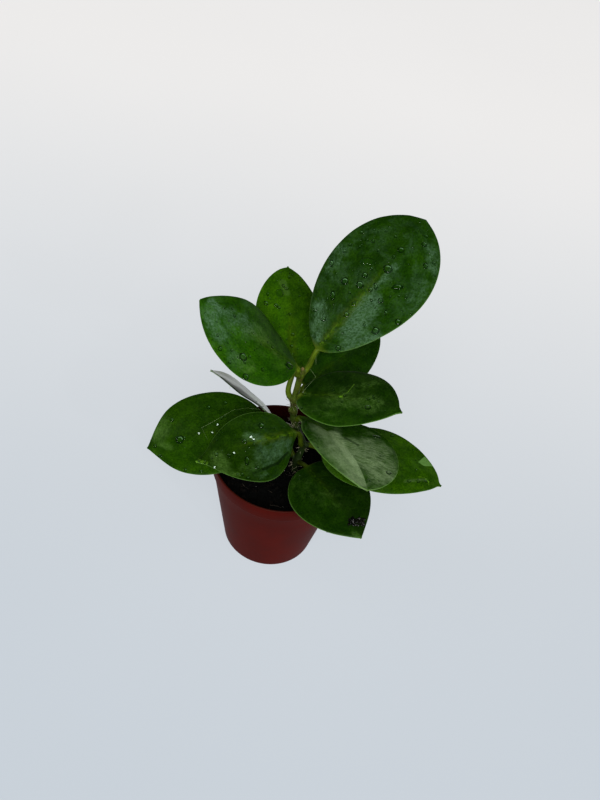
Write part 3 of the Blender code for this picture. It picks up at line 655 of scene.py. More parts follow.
class Finish:
    """A material's nodes, added one call at a time."""

    def __init__(self, name):
        self.material = bpy.data.materials.new(name)
        self.material.use_nodes = True
        self.tree = self.material.node_tree
        self.shader = self.tree.nodes["Principled BSDF"]

    def node(self, kind, settings=None, links=None, output=0):
        node = self.tree.nodes.new(kind)
        for key, value in (settings or {}).items():
            setattr(node, key, value)
        for key, value in (links or {}).items():
            self.feed(node.inputs[key], value)
        return Wire(self, node.outputs[output])

    def feed(self, socket, value):
        if isinstance(value, Wire):
            self.tree.links.new(value.socket, socket)
        elif socket.type == "RGBA":
            socket.default_value = (*value, 1.0)
        else:
            socket.default_value = value

    def attribute(self, name):
        return self.node("ShaderNodeAttribute", {"attribute_name": name}, output="Vector")

    def place(self):
        return self.node("ShaderNodeTexCoord", output="Object")

    def split(self, vector):
        node = self.tree.nodes.new("ShaderNodeSeparateXYZ")
        self.feed(node.inputs[0], vector)
        return [Wire(self, socket) for socket in node.outputs]

    def scaled(self, vector, scale):
        """The vector, stretched by three factors."""
        return self.node("ShaderNodeVectorMath", {"operation": "MULTIPLY"}, {0: vector, 1: scale})

    def noise(self, vector, scale, detail=3.0, roughness=0.5, distortion=0.0):
        links = {"Vector": vector, "Scale": scale, "Detail": detail, "Roughness": roughness,
                 "Distortion": distortion}
        return self.node("ShaderNodeTexNoise", None, links)

    def joined(self, x, y, z):
        return self.node("ShaderNodeCombineXYZ", None, {0: x, 1: y, 2: z})

    def blend(self, factor, first, second):
        links = {0: factor, 6: first, 7: second}
        return self.node("ShaderNodeMix", {"data_type": "RGBA"}, links, 2)

    def bump(self, height, strength):
        """Height is in millimetres."""
        links = {"Height": height, "Strength": strength, "Distance": MM}
        return self.node("ShaderNodeBump", None, links)

    def surface(self, **values):
        for name, value in values.items():
            self.feed(self.shader.inputs[name.replace("_", " ")], value)
        return self.material


# Modelling

def start_clear():
    """Back to object mode with nothing selected."""
    if bpy.context.object and bpy.context.object.mode != "OBJECT":
        bpy.ops.object.mode_set(mode="OBJECT")
    bpy.ops.object.select_all(action="DESELECT")


def pick(piece):
    start_clear()
    piece.select_set(True)
    bpy.context.view_layer.objects.active = piece


def named(name):
    """The primitive that was just added, with its name."""
    piece = bpy.context.object
    piece.name = name
    piece.data.name = name
    return piece


def settle(piece):
    """Put the piece's place into its mesh."""
    pick(piece)
    bpy.ops.object.transform_apply(location=True, rotation=True, scale=True)


def hand_over(piece, material, slot, *nodes):
    """Give a finished piece its material and its body, and hide the nodes that it stands for; the slot is not
    used.
    """
    piece.data.materials.clear()
    piece.data.materials.append(material)
    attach(piece, BODY)
    if nodes:
        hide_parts(*nodes)


def add_modifier(piece, kind, **settings):
    """Add a modifier and apply it."""
    pick(piece)
    modifier = piece.modifiers.new(kind.title(), kind)
    for key, value in settings.items():
        setattr(modifier, key, value)
    bpy.ops.object.modifier_apply(modifier=modifier.name)


def close_skin(threshold):
    """In edit mode: merge doubles, close the open ends and turn the faces outwards."""
    bpy.ops.mesh.select_mode(type="VERT")
    bpy.ops.mesh.select_all(action="SELECT")
    bpy.ops.mesh.remove_doubles(threshold=threshold)
    bpy.ops.mesh.select_all(action="SELECT")
    bpy.ops.mesh.fill_holes(sides=0)
    bpy.ops.mesh.select_all(action="SELECT")
    bpy.ops.mesh.normals_make_consistent(inside=False)


def rolled_skin(name, rings, marks):
    """Roll a grid into a closed skin: one row of it for each ring of points.

    marks holds, for each vector attribute, its value at every point of every ring.
    """
    around = len(rings[0])
    start_clear()
    bpy.ops.mesh.primitive_grid_add(x_subdivisions=around, y_subdivisions=len(rings) - 1, size=1)
    piece = named(name)
    order = [place % around for place in range(around + 1)]
    if len(piece.data.vertices) != len(rings) * len(order):
        raise RuntimeError("the grid doesn't match the rings")
    points = [axis for ring in rings for place in order for axis in ring[place]]
    piece.data.vertices.foreach_set("co", points)
    for mark, values in marks.items():
        layer = piece.data.attributes.new(mark, "FLOAT_VECTOR", "POINT")
        layer.data.foreach_set("vector", [axis for row in values for place in order for axis in row[place]])
    bpy.ops.object.mode_set(mode="EDIT")
    close_skin(WELD)
    bpy.ops.object.mode_set(mode="OBJECT")
    return piece


def turned_skin(name, profile, sides):
    """Turn a profile about Z: a ring is extruded and resized from each corner to the next."""
    start_clear()
    radius, height = profile[0]
    bpy.ops.mesh.primitive_circle_add(vertices=sides, radius=radius, location=(0, 0, height))
    piece = named(name)
    bpy.ops.object.mode_set(mode="EDIT")
    bpy.ops.mesh.select_all(action="SELECT")
    for next_radius, next_height in profile[1:]:
        lift = (0, 0, next_height - height)
        bpy.ops.mesh.extrude_edges_move(TRANSFORM_OT_translate={"value": lift})
        ratio = next_radius / radius
        bpy.ops.transform.resize(value=(ratio, ratio, 1), center_override=(0, 0, next_height))
        radius, height = next_radius, next_height
    close_skin(WELD)
    bpy.ops.object.mode_set(mode="OBJECT")
    settle(piece)
    return piece


def lump(name, squash, roughness, seed, segments=8, rings=5):
    """A small rough lump one unit wide: a sphere pushed in and out by noise."""
    start_clear()
    bpy.ops.mesh.primitive_uv_sphere_add(segments=segments, ring_count=rings, radius=0.5)
    piece = named(name)
    for vert in piece.data.vertices:
        push = 1 + roughness * noise.noise(2.3 * vert.co + Vector((seed, 0, 0)))
        vert.co = Vector((vert.co.x, vert.co.y, vert.co.z * squash)) * push
    return piece


def placed_copies(name, models, places, bright=()):
    """One piece made of a copy of a model at each place, with the models taken in turn.

    The attribute form says where a vertex lies in its model, one unit wide: how far from the
    middle and how far to the upper right, as shares of the half width. Its third part is how
    bright the copy is.
    """
    form = bmesh.new()
    marks = []
    for number, place in enumerate(places):
        copy = models[number % len(models)].data.copy()
        shine = bright[number] if bright else 0.0
        for vert in copy.vertices:
            lit = LIT_SIDE[0] * vert.co.x + LIT_SIDE[1] * vert.co.y
            marks += [2 * math.hypot(vert.co.x, vert.co.y), lit, shine]
        copy.transform(place)
        form.from_mesh(copy)
        bpy.data.meshes.remove(copy)
    mesh = bpy.data.meshes.new(name)
    form.to_mesh(mesh)
    form.free()
    mesh.attributes.new("form", "FLOAT_VECTOR", "POINT").data.foreach_set("vector", marks)
    piece = bpy.data.objects.new(name, mesh)
    bpy.context.scene.collection.objects.link(piece)
    for model in models:
        bpy.data.objects.remove(model, do_unlink=True)
    return piece


def thread(name, paths, radius, sides=2):
    """Thin round threads along lists of points, as one mesh."""
    start_clear()
    curve = bpy.data.curves.new(name, "CURVE")
    curve.dimensions = "3D"
    curve.bevel_depth = radius
    curve.bevel_resolution = sides
    curve.use_fill_caps = True
    curve.resolution_u = 4
    for path in paths:
        spline = curve.splines.new("NURBS")
        spline.points.add(len(path) - 1)
        for spot, point in zip(spline.points, path):
            spot.co = (*point, 1.0)
        spline.use_endpoint_u = True
        spline.order_u = min(4, len(path))
        spline.points[-1].radius = THREAD_END
    piece = bpy.data.objects.new(name, curve)
    bpy.context.scene.collection.objects.link(piece)
    pick(piece)
    bpy.ops.object.convert(target="MESH")
    return bpy.context.object


# Shapes that the solids and the fine pieces share

def way_out(side, lift):
    """The unit direction at an azimuth and an angle above level, in degrees."""
    level = math.cos(math.radians(lift))
    return Vector((level * math.cos(math.radians(side)), level * math.sin(math.radians(side)),
                   math.sin(math.radians(lift))))


def spline_point(points, place):
    """A smooth curve through all the points; place counts from 0 at the first one."""
    last = len(points) - 1
    first = min(int(place), last - 1)
    share = place - first
    before, start, end, after = (points[min(max(first + step, 0), last)] for step in (-1, 0, 1, 2))
    return 0.5 * (2 * start + (end - before) * share
                  + (2 * before - 5 * start + 4 * end - after) * share ** 2
                  + (3 * start - before - 3 * end + after) * share ** 3)


def stem_point(height):
    """Where the stem's axis reaches a height."""
    points = [Vector(point) * MM for point in STEM_AXIS]
    line = [spline_point(points, step / STEM_STEPS) for step in range((len(points) - 1) * STEM_STEPS + 1)]
    for low, high in zip(line, line[1:]):
        if low.z <= height <= high.z:
            return low.lerp(high, (height - low.z) / (high.z - low.z))
    raise ValueError("the stem doesn't reach that height")


def turned(axis, angle):
    return Matrix.Rotation(math.radians(angle), 3, axis)


def leaf_frame(leaf, share):
    """Columns along the blade, to its left and up from it, at a share of its length."""
    along = way_out(leaf["heading"], leaf["rise"])
    left = Vector((-math.sin(math.radians(leaf["heading"])),
                   math.cos(math.radians(leaf["heading"])), 0))
    start = Matrix((along, left, along.cross(left))).transposed() @ turned("X", leaf["roll"])
    return (start @ turned("Y", leaf["droop"] * share ** DROOP_POWER)
            @ turned("Z", leaf["bend"] * share) @ turned("X", leaf["twist"] * share))


def look_of(name):
    """A leaf's looks, with the plain ones for what its own entry leaves out."""
    return PLAIN_LOOK | LOOKS[name]


def shape_of(name):
    """A leaf's shape, with where its own tip starts."""
    return LEAVES[name] | {key: look_of(name)[key] for key in ("nib", "nib_more", "point")}


def midrib(leaf):
    """The points of the midrib, one for each step of its length."""
    step = leaf["length"] * MM / MIDRIB_STEPS
    points = [Vector(leaf["base"]) * MM]
    for number in range(MIDRIB_STEPS):
        points.append(points[-1] + leaf_frame(leaf, (number + 0.5) / MIDRIB_STEPS).col[0] * step)
    return points


def outline(leaf, share):
    """Half the blade's width, as a share of the most it has."""
    shoulder, taper = leaf["shoulder"], leaf["taper"]
    reach = min(share / leaf["nib"], 1.0)
    both = shoulder + taper
    peak = (shoulder / both) ** shoulder * (taper / both) ** taper
    body = reach ** shoulder * (1 - reach) ** taper / peak
    line = leaf["point"] * (1 - reach)
    if 0 < body and 0 < line:
        body = (body ** -POINT_ROUND + line ** -POINT_ROUND) ** (-1 / POINT_ROUND)
    near_tip = min(max((share - NIB_STARTS) / (NIB_FULL - NIB_STARTS), 0.0), 1.0)
    cusp = (NIB_WIDTH + leaf["nib_more"] * near_tip) * (1 - share) * math.sqrt(share)
    return (body ** NIB_JOIN + cusp ** NIB_JOIN) ** (1 / NIB_JOIN)


def half_thickness(place):
    """Half the blade's thickness: nearly even, and rounded off at the margin."""
    full = bpy.context.scene.hoya_leaves.thickness / 2
    rounding = math.sqrt(max(0.0, 1 - abs(place) ** MARGIN_POWER))
    return full * (1 - MARGIN_THINNING * place ** 2) * rounding + LEAST_HALF


def blade_point(leaf, phase, centre, frame_here, share, radius, place):
    """The points over and under one place across the blade, and how far out they are."""
    along, left, up = (frame_here.col[number] for number in range(3))
    width = leaf["width"] * MM
    half = outline(leaf, share) * width / 2
    round_top = max(0.0, 1 - share / TOP_OPENS) ** 2
    round_below = max(0.0, 1 - share / BELOW_OPENS) ** 2
    reach = max(math.hypot(half, radius * round_below), TIP_RADIUS)
    opened = min(1.0, half / (FOLD_OPENS * width))
    turn = math.radians(EDGE_ANGLE * place)
    across = (1 - round_top) * place + round_top * math.sin(turn)
    sign = math.copysign(1.0, place)
    out = abs(across) * reach * (1 + sign * leaf["skew"] * opened)
    tip_up = math.radians(leaf["fold"] + CUP * out / width) * opened
    raised = math.hypot(out, FOLD_ROUND) - FOLD_ROUND
    point = centre + sign * out * math.cos(tip_up) * left + raised * math.sin(tip_up) * up
    lobe = leaf["lobe"] * width * LOBE_REACH * abs(place) ** LOBE_POWER * (1 - share) ** LOBE_FADE
    point -= along * lobe * opened
    wave = math.sin(2 * math.pi * WAVES * share + phase) * min(1.0, WAVE_ONSET * share)
    point += up * WAVE_HEIGHT * wave * place ** 2
    uneven = noise.noise(point / SWELL_SIZE) + 0.4 * noise.noise(point * 2.3 / SWELL_SIZE)
    point += up * SWELL * uneven * opened * min(1.0, WAVE_ONSET * share)
    face = math.cos(tip_up) * up - sign * math.sin(tip_up) * left
    thick = half_thickness(place)
    bulge = max(thick, radius * math.cos(turn))
    groove = RIB_GROOVE * math.exp(-(out / RIB_HALF) ** 2) * opened * (1 - share)
    keel = KEEL_DEPTH * (1 - share) ** KEEL_FADE * max(0.0, 1 - KEEL_SLOPE * abs(place))
    upper = point + face * (thick - groove + (bulge - thick) * round_top)
    lower = point - face * max(thick + keel, thick + (bulge - thick) * round_below)
    edge = (1 - abs(place)) * reach
    return upper, lower, sign * out, edge


# The photo's camera

def camera_axes():
    """The camera's right, up and back."""
    tip, roll = math.radians(CAMERA_ELEVATION), math.radians(CAMERA_ROLL)
    level, rising = Vector((1, 0, 0)), Vector((0, math.sin(tip), math.cos(tip)))
    right = math.cos(roll) * level + math.sin(roll) * rising
    up = math.cos(roll) * rising - math.sin(roll) * level
    return right, up, Vector((0, -math.cos(tip), math.sin(tip)))


def camera_place():
    """Where the middle of the rim shows at its own pixel."""
    right, up, back = camera_axes()
    scale = RIM_DISTANCE / FOCAL_PIXELS
    across = (RIM_PIXEL[0] - IMAGE_MIDDLE[0]) * scale
    down = (RIM_PIXEL[1] - IMAGE_MIDDLE[1]) * scale
    return Vector((0, 0, POT_HEIGHT)) - right * across + up * down + back * RIM_DISTANCE


def pixel_ray(across, down):
    right, up, back = camera_axes()
    way = right * (across - IMAGE_MIDDLE[0]) + up * (IMAGE_MIDDLE[1] - down) - back * FOCAL_PIXELS
    return way.normalized()


def seen_point(skin, across, down):
    """Where a pixel's ray meets a leaf, or the leaf's nearest point to a ray that just misses it.

    Returns the point, the normal towards the camera and the number of the face.
    """
    eye, way = camera_place(), pixel_ray(across, down)
    point, normal, face = skin.ray_cast(eye, way)[:3]
    if point is None:
        for step in range(4):
            near = eye + way * ((point or Vector((0, 0, POT_HEIGHT))) - eye).dot(way)
            point, normal, face = skin.find_nearest(near)[:3]
    if normal.dot(point - eye) > 0:
        normal = -normal
    return point, normal, face


# Finishes

def near_line(across, along, start, end, half):
    """1 on a stroke of the flattened blade and 0 from its half width on."""
    way = end - start
    share = ((across - start.x) * way.x + (along - start.y) * way.y) * (1 / way.length_squared)
    share = share.maths("MINIMUM", share.maths("MAXIMUM", share, 0.0), 1.0)
    gap_x, gap_y = across - start.x - share * way.x, along - start.y - share * way.y
    return 1 - ((gap_x * gap_x + gap_y * gap_y) ** 0.5).step(0.4 * half, half)


def leaf_finish(name, look, light_patch, lines):
    """Mottled green with veins, a pale midrib and margin, a film of dried water and painted sheen,
    painted shade on each half and in the creases, and a pale underside.

    patch holds the corners of a pale patch of painted light on the flattened blade, or nothing, and
    lines the strokes of the thin marks on it.
    """
    colours = bpy.context.scene.hoya_leaves
    finish = Finish("leaf_" + name)
    flat = finish.attribute("flat")
    across, along, edge = finish.split(flat)
    top, share, film_and_sheen_depth = finish.split(finish.attribute("blade"))
    body = Vector(getattr(colours, look["body"]))
    warm = Vector((body.x * 1.5, body.y * 1.25, body.z * 0.8))
    broad = finish.noise(flat, 0.16, 4.0, 0.55)
    cloudy = finish.blend(broad.step(0.3, 0.72), body * 0.75, warm)
    yellow = finish.noise(flat, 0.42, 5.0, 0.7).step(0.54, 0.74) * 0.5
    green = finish.blend(yellow, cloudy, Vector((body.x * 2.6, body.y * 1.5, body.z * 0.8)))
    grain = finish.noise(flat, 1.15, 5.0, 0.8).step(0.36, 0.64)
    darker, lighter = finish.scaled(green, (0.68, 0.70, 0.68)), finish.scaled(green, (1.7, 1.5, 1.7))
    green = finish.blend(grain * 0.8, darker, lighter)
    # Painted shade: each half of the blade is darkened or lightened as light falls on it.
    left_painted_shade, right_painted_shade = look["painted_shade_halves"]
    side = across.step(*HALF_BLEND)
    green = finish.scaled(green, finish.joined(*[right_painted_shade + (left_painted_shade - right_painted_shade) * side] * 3))
    wander = finish.noise(flat, 0.25, 2.0) - 0.5
    vein_way = along - abs(across) * VEIN_SLANT + across * across * VEIN_CURVE + wander * 3.0
    vein = abs((vein_way * (math.pi / VEIN_SPACING)).sine())
    vein_line = (1 - vein.step(0.0, 0.16)) * (1 - share.step(0.7, 0.95)) * abs(across).step(0.4, 3.0)
    green = finish.blend(vein_line * 0.07, green, colours.rib)
    patches = finish.noise(flat, 0.13, 5.0, 0.62, 0.6)
    speckle = finish.noise(flat, 0.95, 6.0, 0.8)
    torn = finish.noise(flat, 0.27, 6.0, 0.70, 0.5)
    streak = finish.noise(finish.joined(vein_way * 1.7, across * 0.22, 0.0), 1.0, 4.0, 0.65)
    # Film of dried water and painted sheen: thick along the strokes and broken up by noise.
    film_and_sheen = (film_and_sheen_depth + (torn - 0.5) * (2.6 * look["mottle"]) * film_and_sheen_depth.step(0.0, 0.35)).step(0.10, 1.0)
    film_and_sheen = film_and_sheen + (1 - film_and_sheen) * patches.step(0.40, 0.70) * look["haze"]
    film_and_sheen = film_and_sheen * (1 - look["mottle"] + look["mottle"] * speckle.step(0.40, 0.58))
    gaps = look["streaks"] * 0.8 * streak.step(0.44, 0.60) * (1 - (1 - side) * look["smooth_right"])
    film_and_sheen = film_and_sheen * (1 - gaps) * look["film_and_sheen"]
    at_base, at_tip = (getattr(colours, colour) for colour in look["film_and_sheen_colour"])
    coated = finish.blend(film_and_sheen, green, finish.blend(share.step(0.35, 0.65), at_base, at_tip))
    broken = 0.15 + 0.85 * finish.noise(flat, 0.55, 5.0, 0.75).step(0.40, 0.60)
    halo = (1 - abs(across + wander * 1.5).step(*HALO_REACH)) * (1 - share.step(*HALO_FADE))
    olive = Vector(colours.rib)
    halo_colour = Vector((olive.x * 0.75, olive.y * 0.55, olive.z))
    coated = finish.blend(halo * broken * look["rib"], coated, halo_colour)
    rib = (1 - abs(across + wander * 0.8).step(*RIB_REACH)) * (1 - share.step(*RIB_FADE))
    coated = finish.blend(rib * broken * grain * look["rib"], coated, olive * 1.2)
    # Painted light: a pale patch with sharp sides on the flattened blade.
    if light_patch:
        first, second, third = light_patch[:3]
        if (second - first).cross(third - first) < 0:
            light_patch = light_patch[::-1]
        inside = 1.0
        for here, there in zip(light_patch, light_patch[1:] + light_patch[:1]):
            way = (there - here).normalized()
            inside = inside * ((along - here.y) * way.x - (across - here.x) * way.y).step(*PATCH_REACH)
        coated = finish.blend(inside * (0.7 + 0.3 * grain), coated, colours.sheen)
    left_edge, right_edge = look["edges"]
    pale = right_edge + (left_edge - right_edge) * side
    coated = finish.blend((1 - edge.step(*MARGIN_REACH)) * pale, coated, colours.margin)
    below = Vector(colours.below)
    dull = finish.blend(finish.noise(flat, 0.5, 4.0, 0.6).step(0.3, 0.7), below * 0.75, below)
    dull = finish.blend((1 - abs(across).step(0.3, 1.1)) * 0.5, dull, colours.rib)
    dull = finish.blend(vein_line * 0.25, dull, below * 0.6)
    blade = finish.blend(top.step(*FACE_SPLIT), dull, coated)
    coat = 1.0
    # The crease marks are painted shade and also take the clear coat away where they lie.
    for start, end, half, strength, mark in lines:
        near = near_line(across + wander * 0.8, along, start, end, half) * strength
        near = near * broken if mark == "scratch" else near
        coat = coat * (1 - near)
        blade = finish.blend(near, blade, getattr(colours, mark))
    stalk = Vector(colours.stalk)
    fibre = finish.noise(finish.scaled(flat, (3.0, 0.3, 3.0)), 1.2, 3.0)
    # Painted shade: each stalk is darkened by the leaf's stalk value, most on the low leaves.
    stalky = finish.blend(fibre.step(0.3, 0.7), stalk * 0.65 * look["stalk"], stalk * 1.15 * look["stalk"])
    colour = finish.blend(share.step(*STALK_END), stalky, blade)
    pebble = finish.noise(flat, 1.3, 3.0, 0.6) * 0.05 + finish.noise(flat, 4.5, 2.0) * 0.012
    quilt = vein * 0.05 * (1 - share)
    rough = 0.30 + film_and_sheen * 0.16 + speckle * 0.1 + (1 - top) * 0.25
    if look["coat"]:
        finish.surface(Coat_Weight=look["coat"] * coat, Coat_Roughness=0.3)
    return finish.surface(
        Base_Color=colour, Roughness=rough, Normal=finish.bump(pebble + quilt, 0.55),
        Specular_IOR_Level=look["gloss"])


def pot_finish():
    """Satin plastic with fine grain, rubbed spots, a worn lip, painted shade on the inner wall and soil
    stains inside.
    """
    colours = bpy.context.scene.hoya_pot
    finish = Finish("pot_plastic")
    place = finish.place()
    x, y, z = finish.split(place)
    height = z * METRE
    radius = (x * x + y * y) ** 0.5 * METRE
    plastic = Vector(colours.colour)
    cloud = finish.noise(place, 60.0, 4.0, 0.6)
    colour = finish.blend(cloud.step(0.3, 0.7), plastic * 0.86, plastic * 1.12)
    scuff = finish.noise(finish.scaled(place, (1.0, 1.0, 0.35)), 700.0, 5.0, 0.7).step(0.6, 0.78)
    rubbed = finish.noise(place, 130.0, 3.0).step(0.48, 0.7) * scuff
    colour = finish.blend(rubbed * 0.5, colour, colours.worn_colour)
    lip = height.step(*(POT_HEIGHT / MM - below for below in WORN_BAND))
    colour = finish.blend(lip * 0.75, colour, colours.worn_colour)
    # Painted shade: the inner wall is darkened where shade falls inside the pot.
    inside = 1 - (radius - inner_line(height)).step(0.0, 0.35)
    inside = inside * height.step(FLOOR_TOP / MM, FLOOR_TOP / MM + 1.0)
    colour = finish.blend(inside * 0.72, colour, plastic * 0.22)
    stain = finish.noise(place, 420.0, 5.0, 0.7)
    low = 1 - (height + stain * 4.0).step(*(SOIL_TOP / MM + above for above in STAIN_BAND))
    soil = Vector(bpy.context.scene.hoya_soil.colour)
    colour = finish.blend(inside * low * 0.9, colour, soil)
    splash = finish.noise(place, 900.0, 4.0, 0.6).step(0.66, 0.72) * height.step(*SPLASH_BAND)
    colour = finish.blend(splash * 0.6, colour, soil * 1.5)
    rough = colours.roughness + cloud * 0.14 + rubbed * 0.12 - lip * 0.06
    grain = finish.noise(place, 2600.0, 2.0) * 0.012 + finish.noise(place, 240.0, 2.0) * 0.03
    return finish.surface(
        Base_Color=colour, Roughness=rough, Normal=finish.bump(grain, 0.5), Specular_IOR_Level=0.04)


def inner_line(height):
    """The pot's middle wall radius at a height, both in millimetres, for a number or a wire."""
    top = (RIM_RADIUS - COLLAR_DRAFT - COLLAR_STEP) / MM
    foot = BASE_RADIUS / MM
    slope = (top - foot) / ((POT_HEIGHT - COLLAR_HEIGHT) / MM)
    return height * slope + (foot - 0.45)


def soil_finish():
    """Damp dark soil with drier bits and grains of sand."""
    colours = bpy.context.scene.hoya_soil
    finish = Finish("potting_soil")
    place = finish.place()
    soil = Vector(colours.colour)
    grain = finish.noise(place, 900.0, 5.0, 0.7)
    colour = finish.blend(grain.step(0.35, 0.7), soil * 0.5, soil * 1.6)
    dry = finish.noise(place, 260.0, 4.0, 0.6).step(0.56, 0.74)
    colour = finish.blend(dry * 0.4, colour, colours.bark_colour)
    sand = finish.noise(place, 2400.0, 1.0).step(0.79, 0.84)
    colour = finish.blend(sand * 0.5, colour, (0.16, 0.14, 0.12))
    rough = 0.72 + grain * 0.25 - dry * 0.1
    return finish.surface(
        Base_Color=colour, Roughness=rough, Normal=finish.bump(grain * 0.25, 0.8),
        Specular_IOR_Level=0.08)


def bits_finish(name, dark, light, roughness, gloss=0.08):
    """Rough bits whose colour changes from one to the next."""
    finish = Finish(name)
    place = finish.place()
    between = finish.noise(place, 230.0, 1.0).step(0.35, 0.65)
    grain = finish.noise(place, 1800.0, 3.0, 0.7)
    colour = finish.blend(between, dark, light)
    colour = finish.blend(grain.step(0.4, 0.75) * 0.5, colour, Vector(dark) * 0.5)
    rough = roughness + grain * 0.15
    return finish.surface(
        Base_Color=colour, Roughness=rough, Normal=finish.bump(grain * 0.12, 0.7),
        Specular_IOR_Level=gloss)


def stem_finish():
    """Olive skin with corky brown nodes, fine ridges, a pinkish bud at the top and painted shade low down."""
    colours = bpy.context.scene.hoya_stem
    finish = Finish("stem_skin")
    place = finish.place()
    height = finish.split(place)[2] * METRE
    green = Vector(colours.green)
    ridges = finish.noise(finish.scaled(place, (1.0, 1.0, 0.18)), 1500.0, 4.0, 0.65)
    colour = finish.blend(ridges.step(0.3, 0.7), green * 0.55, green * 1.25)
    corky = finish.noise(place, 380.0, 4.0, 0.65)
    for node in STEM_NODES:
        near = 1 - abs(height - node).step(*NODE_REACH)
        colour = finish.blend(near * corky.step(0.35, 0.6) * 0.65, colour, colours.brown)
    upper = height.step(*CORK_RISE) * corky.step(0.3, 0.65)
    colour = finish.blend(upper * 0.45, colour, colours.brown)
    bud = height.step(*BUD_RISE) * corky.step(0.30, 0.50)
    colour = finish.blend(bud * 0.6, colour, (0.18, 0.12, 0.06))
    # Painted shade: the stem is darkened low down, under the leaves.
    low = 1 - height.step(*SHADE_RISE)
    colour = finish.blend(low * 0.90, colour, (0.007, 0.016, 0.004))
    freckle = finish.noise(place, 1900.0, 2.0).step(0.68, 0.76)
    colour = finish.blend(freckle * 0.4, colour, (0.20, 0.18, 0.10))
    relief = ridges * 0.16 + corky * 0.1
    return finish.surface(
        Base_Color=colour, Roughness=0.42 + corky * 0.25, Normal=finish.bump(relief, 0.7),
        Specular_IOR_Level=0.12)


def water_finish():
    """Beads of water: a painted dark rim, a painted crescent of light, a painted glint on the brightest, and
    the leaf showing through the middle.
    """
    finish = Finish("water")
    reach, lit, bright = finish.split(finish.attribute("form"))
    ripple = finish.noise(finish.place(), 1100.0, 2.0)
    # Painted shade: a dark rim where the drop bends the light away.
    rim = reach.step(*RIM_BAND)
    # Painted light: a pale crescent on the side towards the light.
    painted_crescent = reach.step(*CRESCENT_START) * (1 - reach.step(*CRESCENT_END))
    painted_crescent = painted_crescent * (lit + (ripple - 0.5) * 1.6).step(0.22, 0.50) * (bright + 1).step(0.0, 1.0)
    rim = rim * (0.5 + 0.5 * (bright + 1).step(0.0, 1.0))
    # Painted highlight: a white glint on the brightest drops.
    painted_glint = bright.step(0.0, 1.0) * (1 - (reach + (ripple - 0.5) * 2.4).step(*GLINT_END))
    colour = finish.blend(rim, (0.0100, 0.0420, 0.0040), (0.0010, 0.0080, 0.0010))
    colour = finish.blend(painted_crescent, colour, (0.100, 0.185, 0.090))
    colour = finish.blend(painted_glint, colour, (0.44, 0.54, 0.46))
    return finish.surface(
        Base_Color=colour, Roughness=0.02, IOR=1.333, Alpha=0.20 + 0.50 * rim + 0.45 * painted_crescent + 0.7 * painted_glint,
        Normal=finish.bump(ripple * 0.02, 0.3), Specular_IOR_Level=0.25)


def thread_finish(name, dark, light):
    """A thread whose colour changes along it."""
    finish = Finish(name)
    along = finish.noise(finish.place(), 350.0, 2.0)
    colour = finish.blend(along.step(0.35, 0.65), dark, light)
    return finish.surface(Base_Color=colour, Roughness=0.55 + along * 0.2)


# Operators

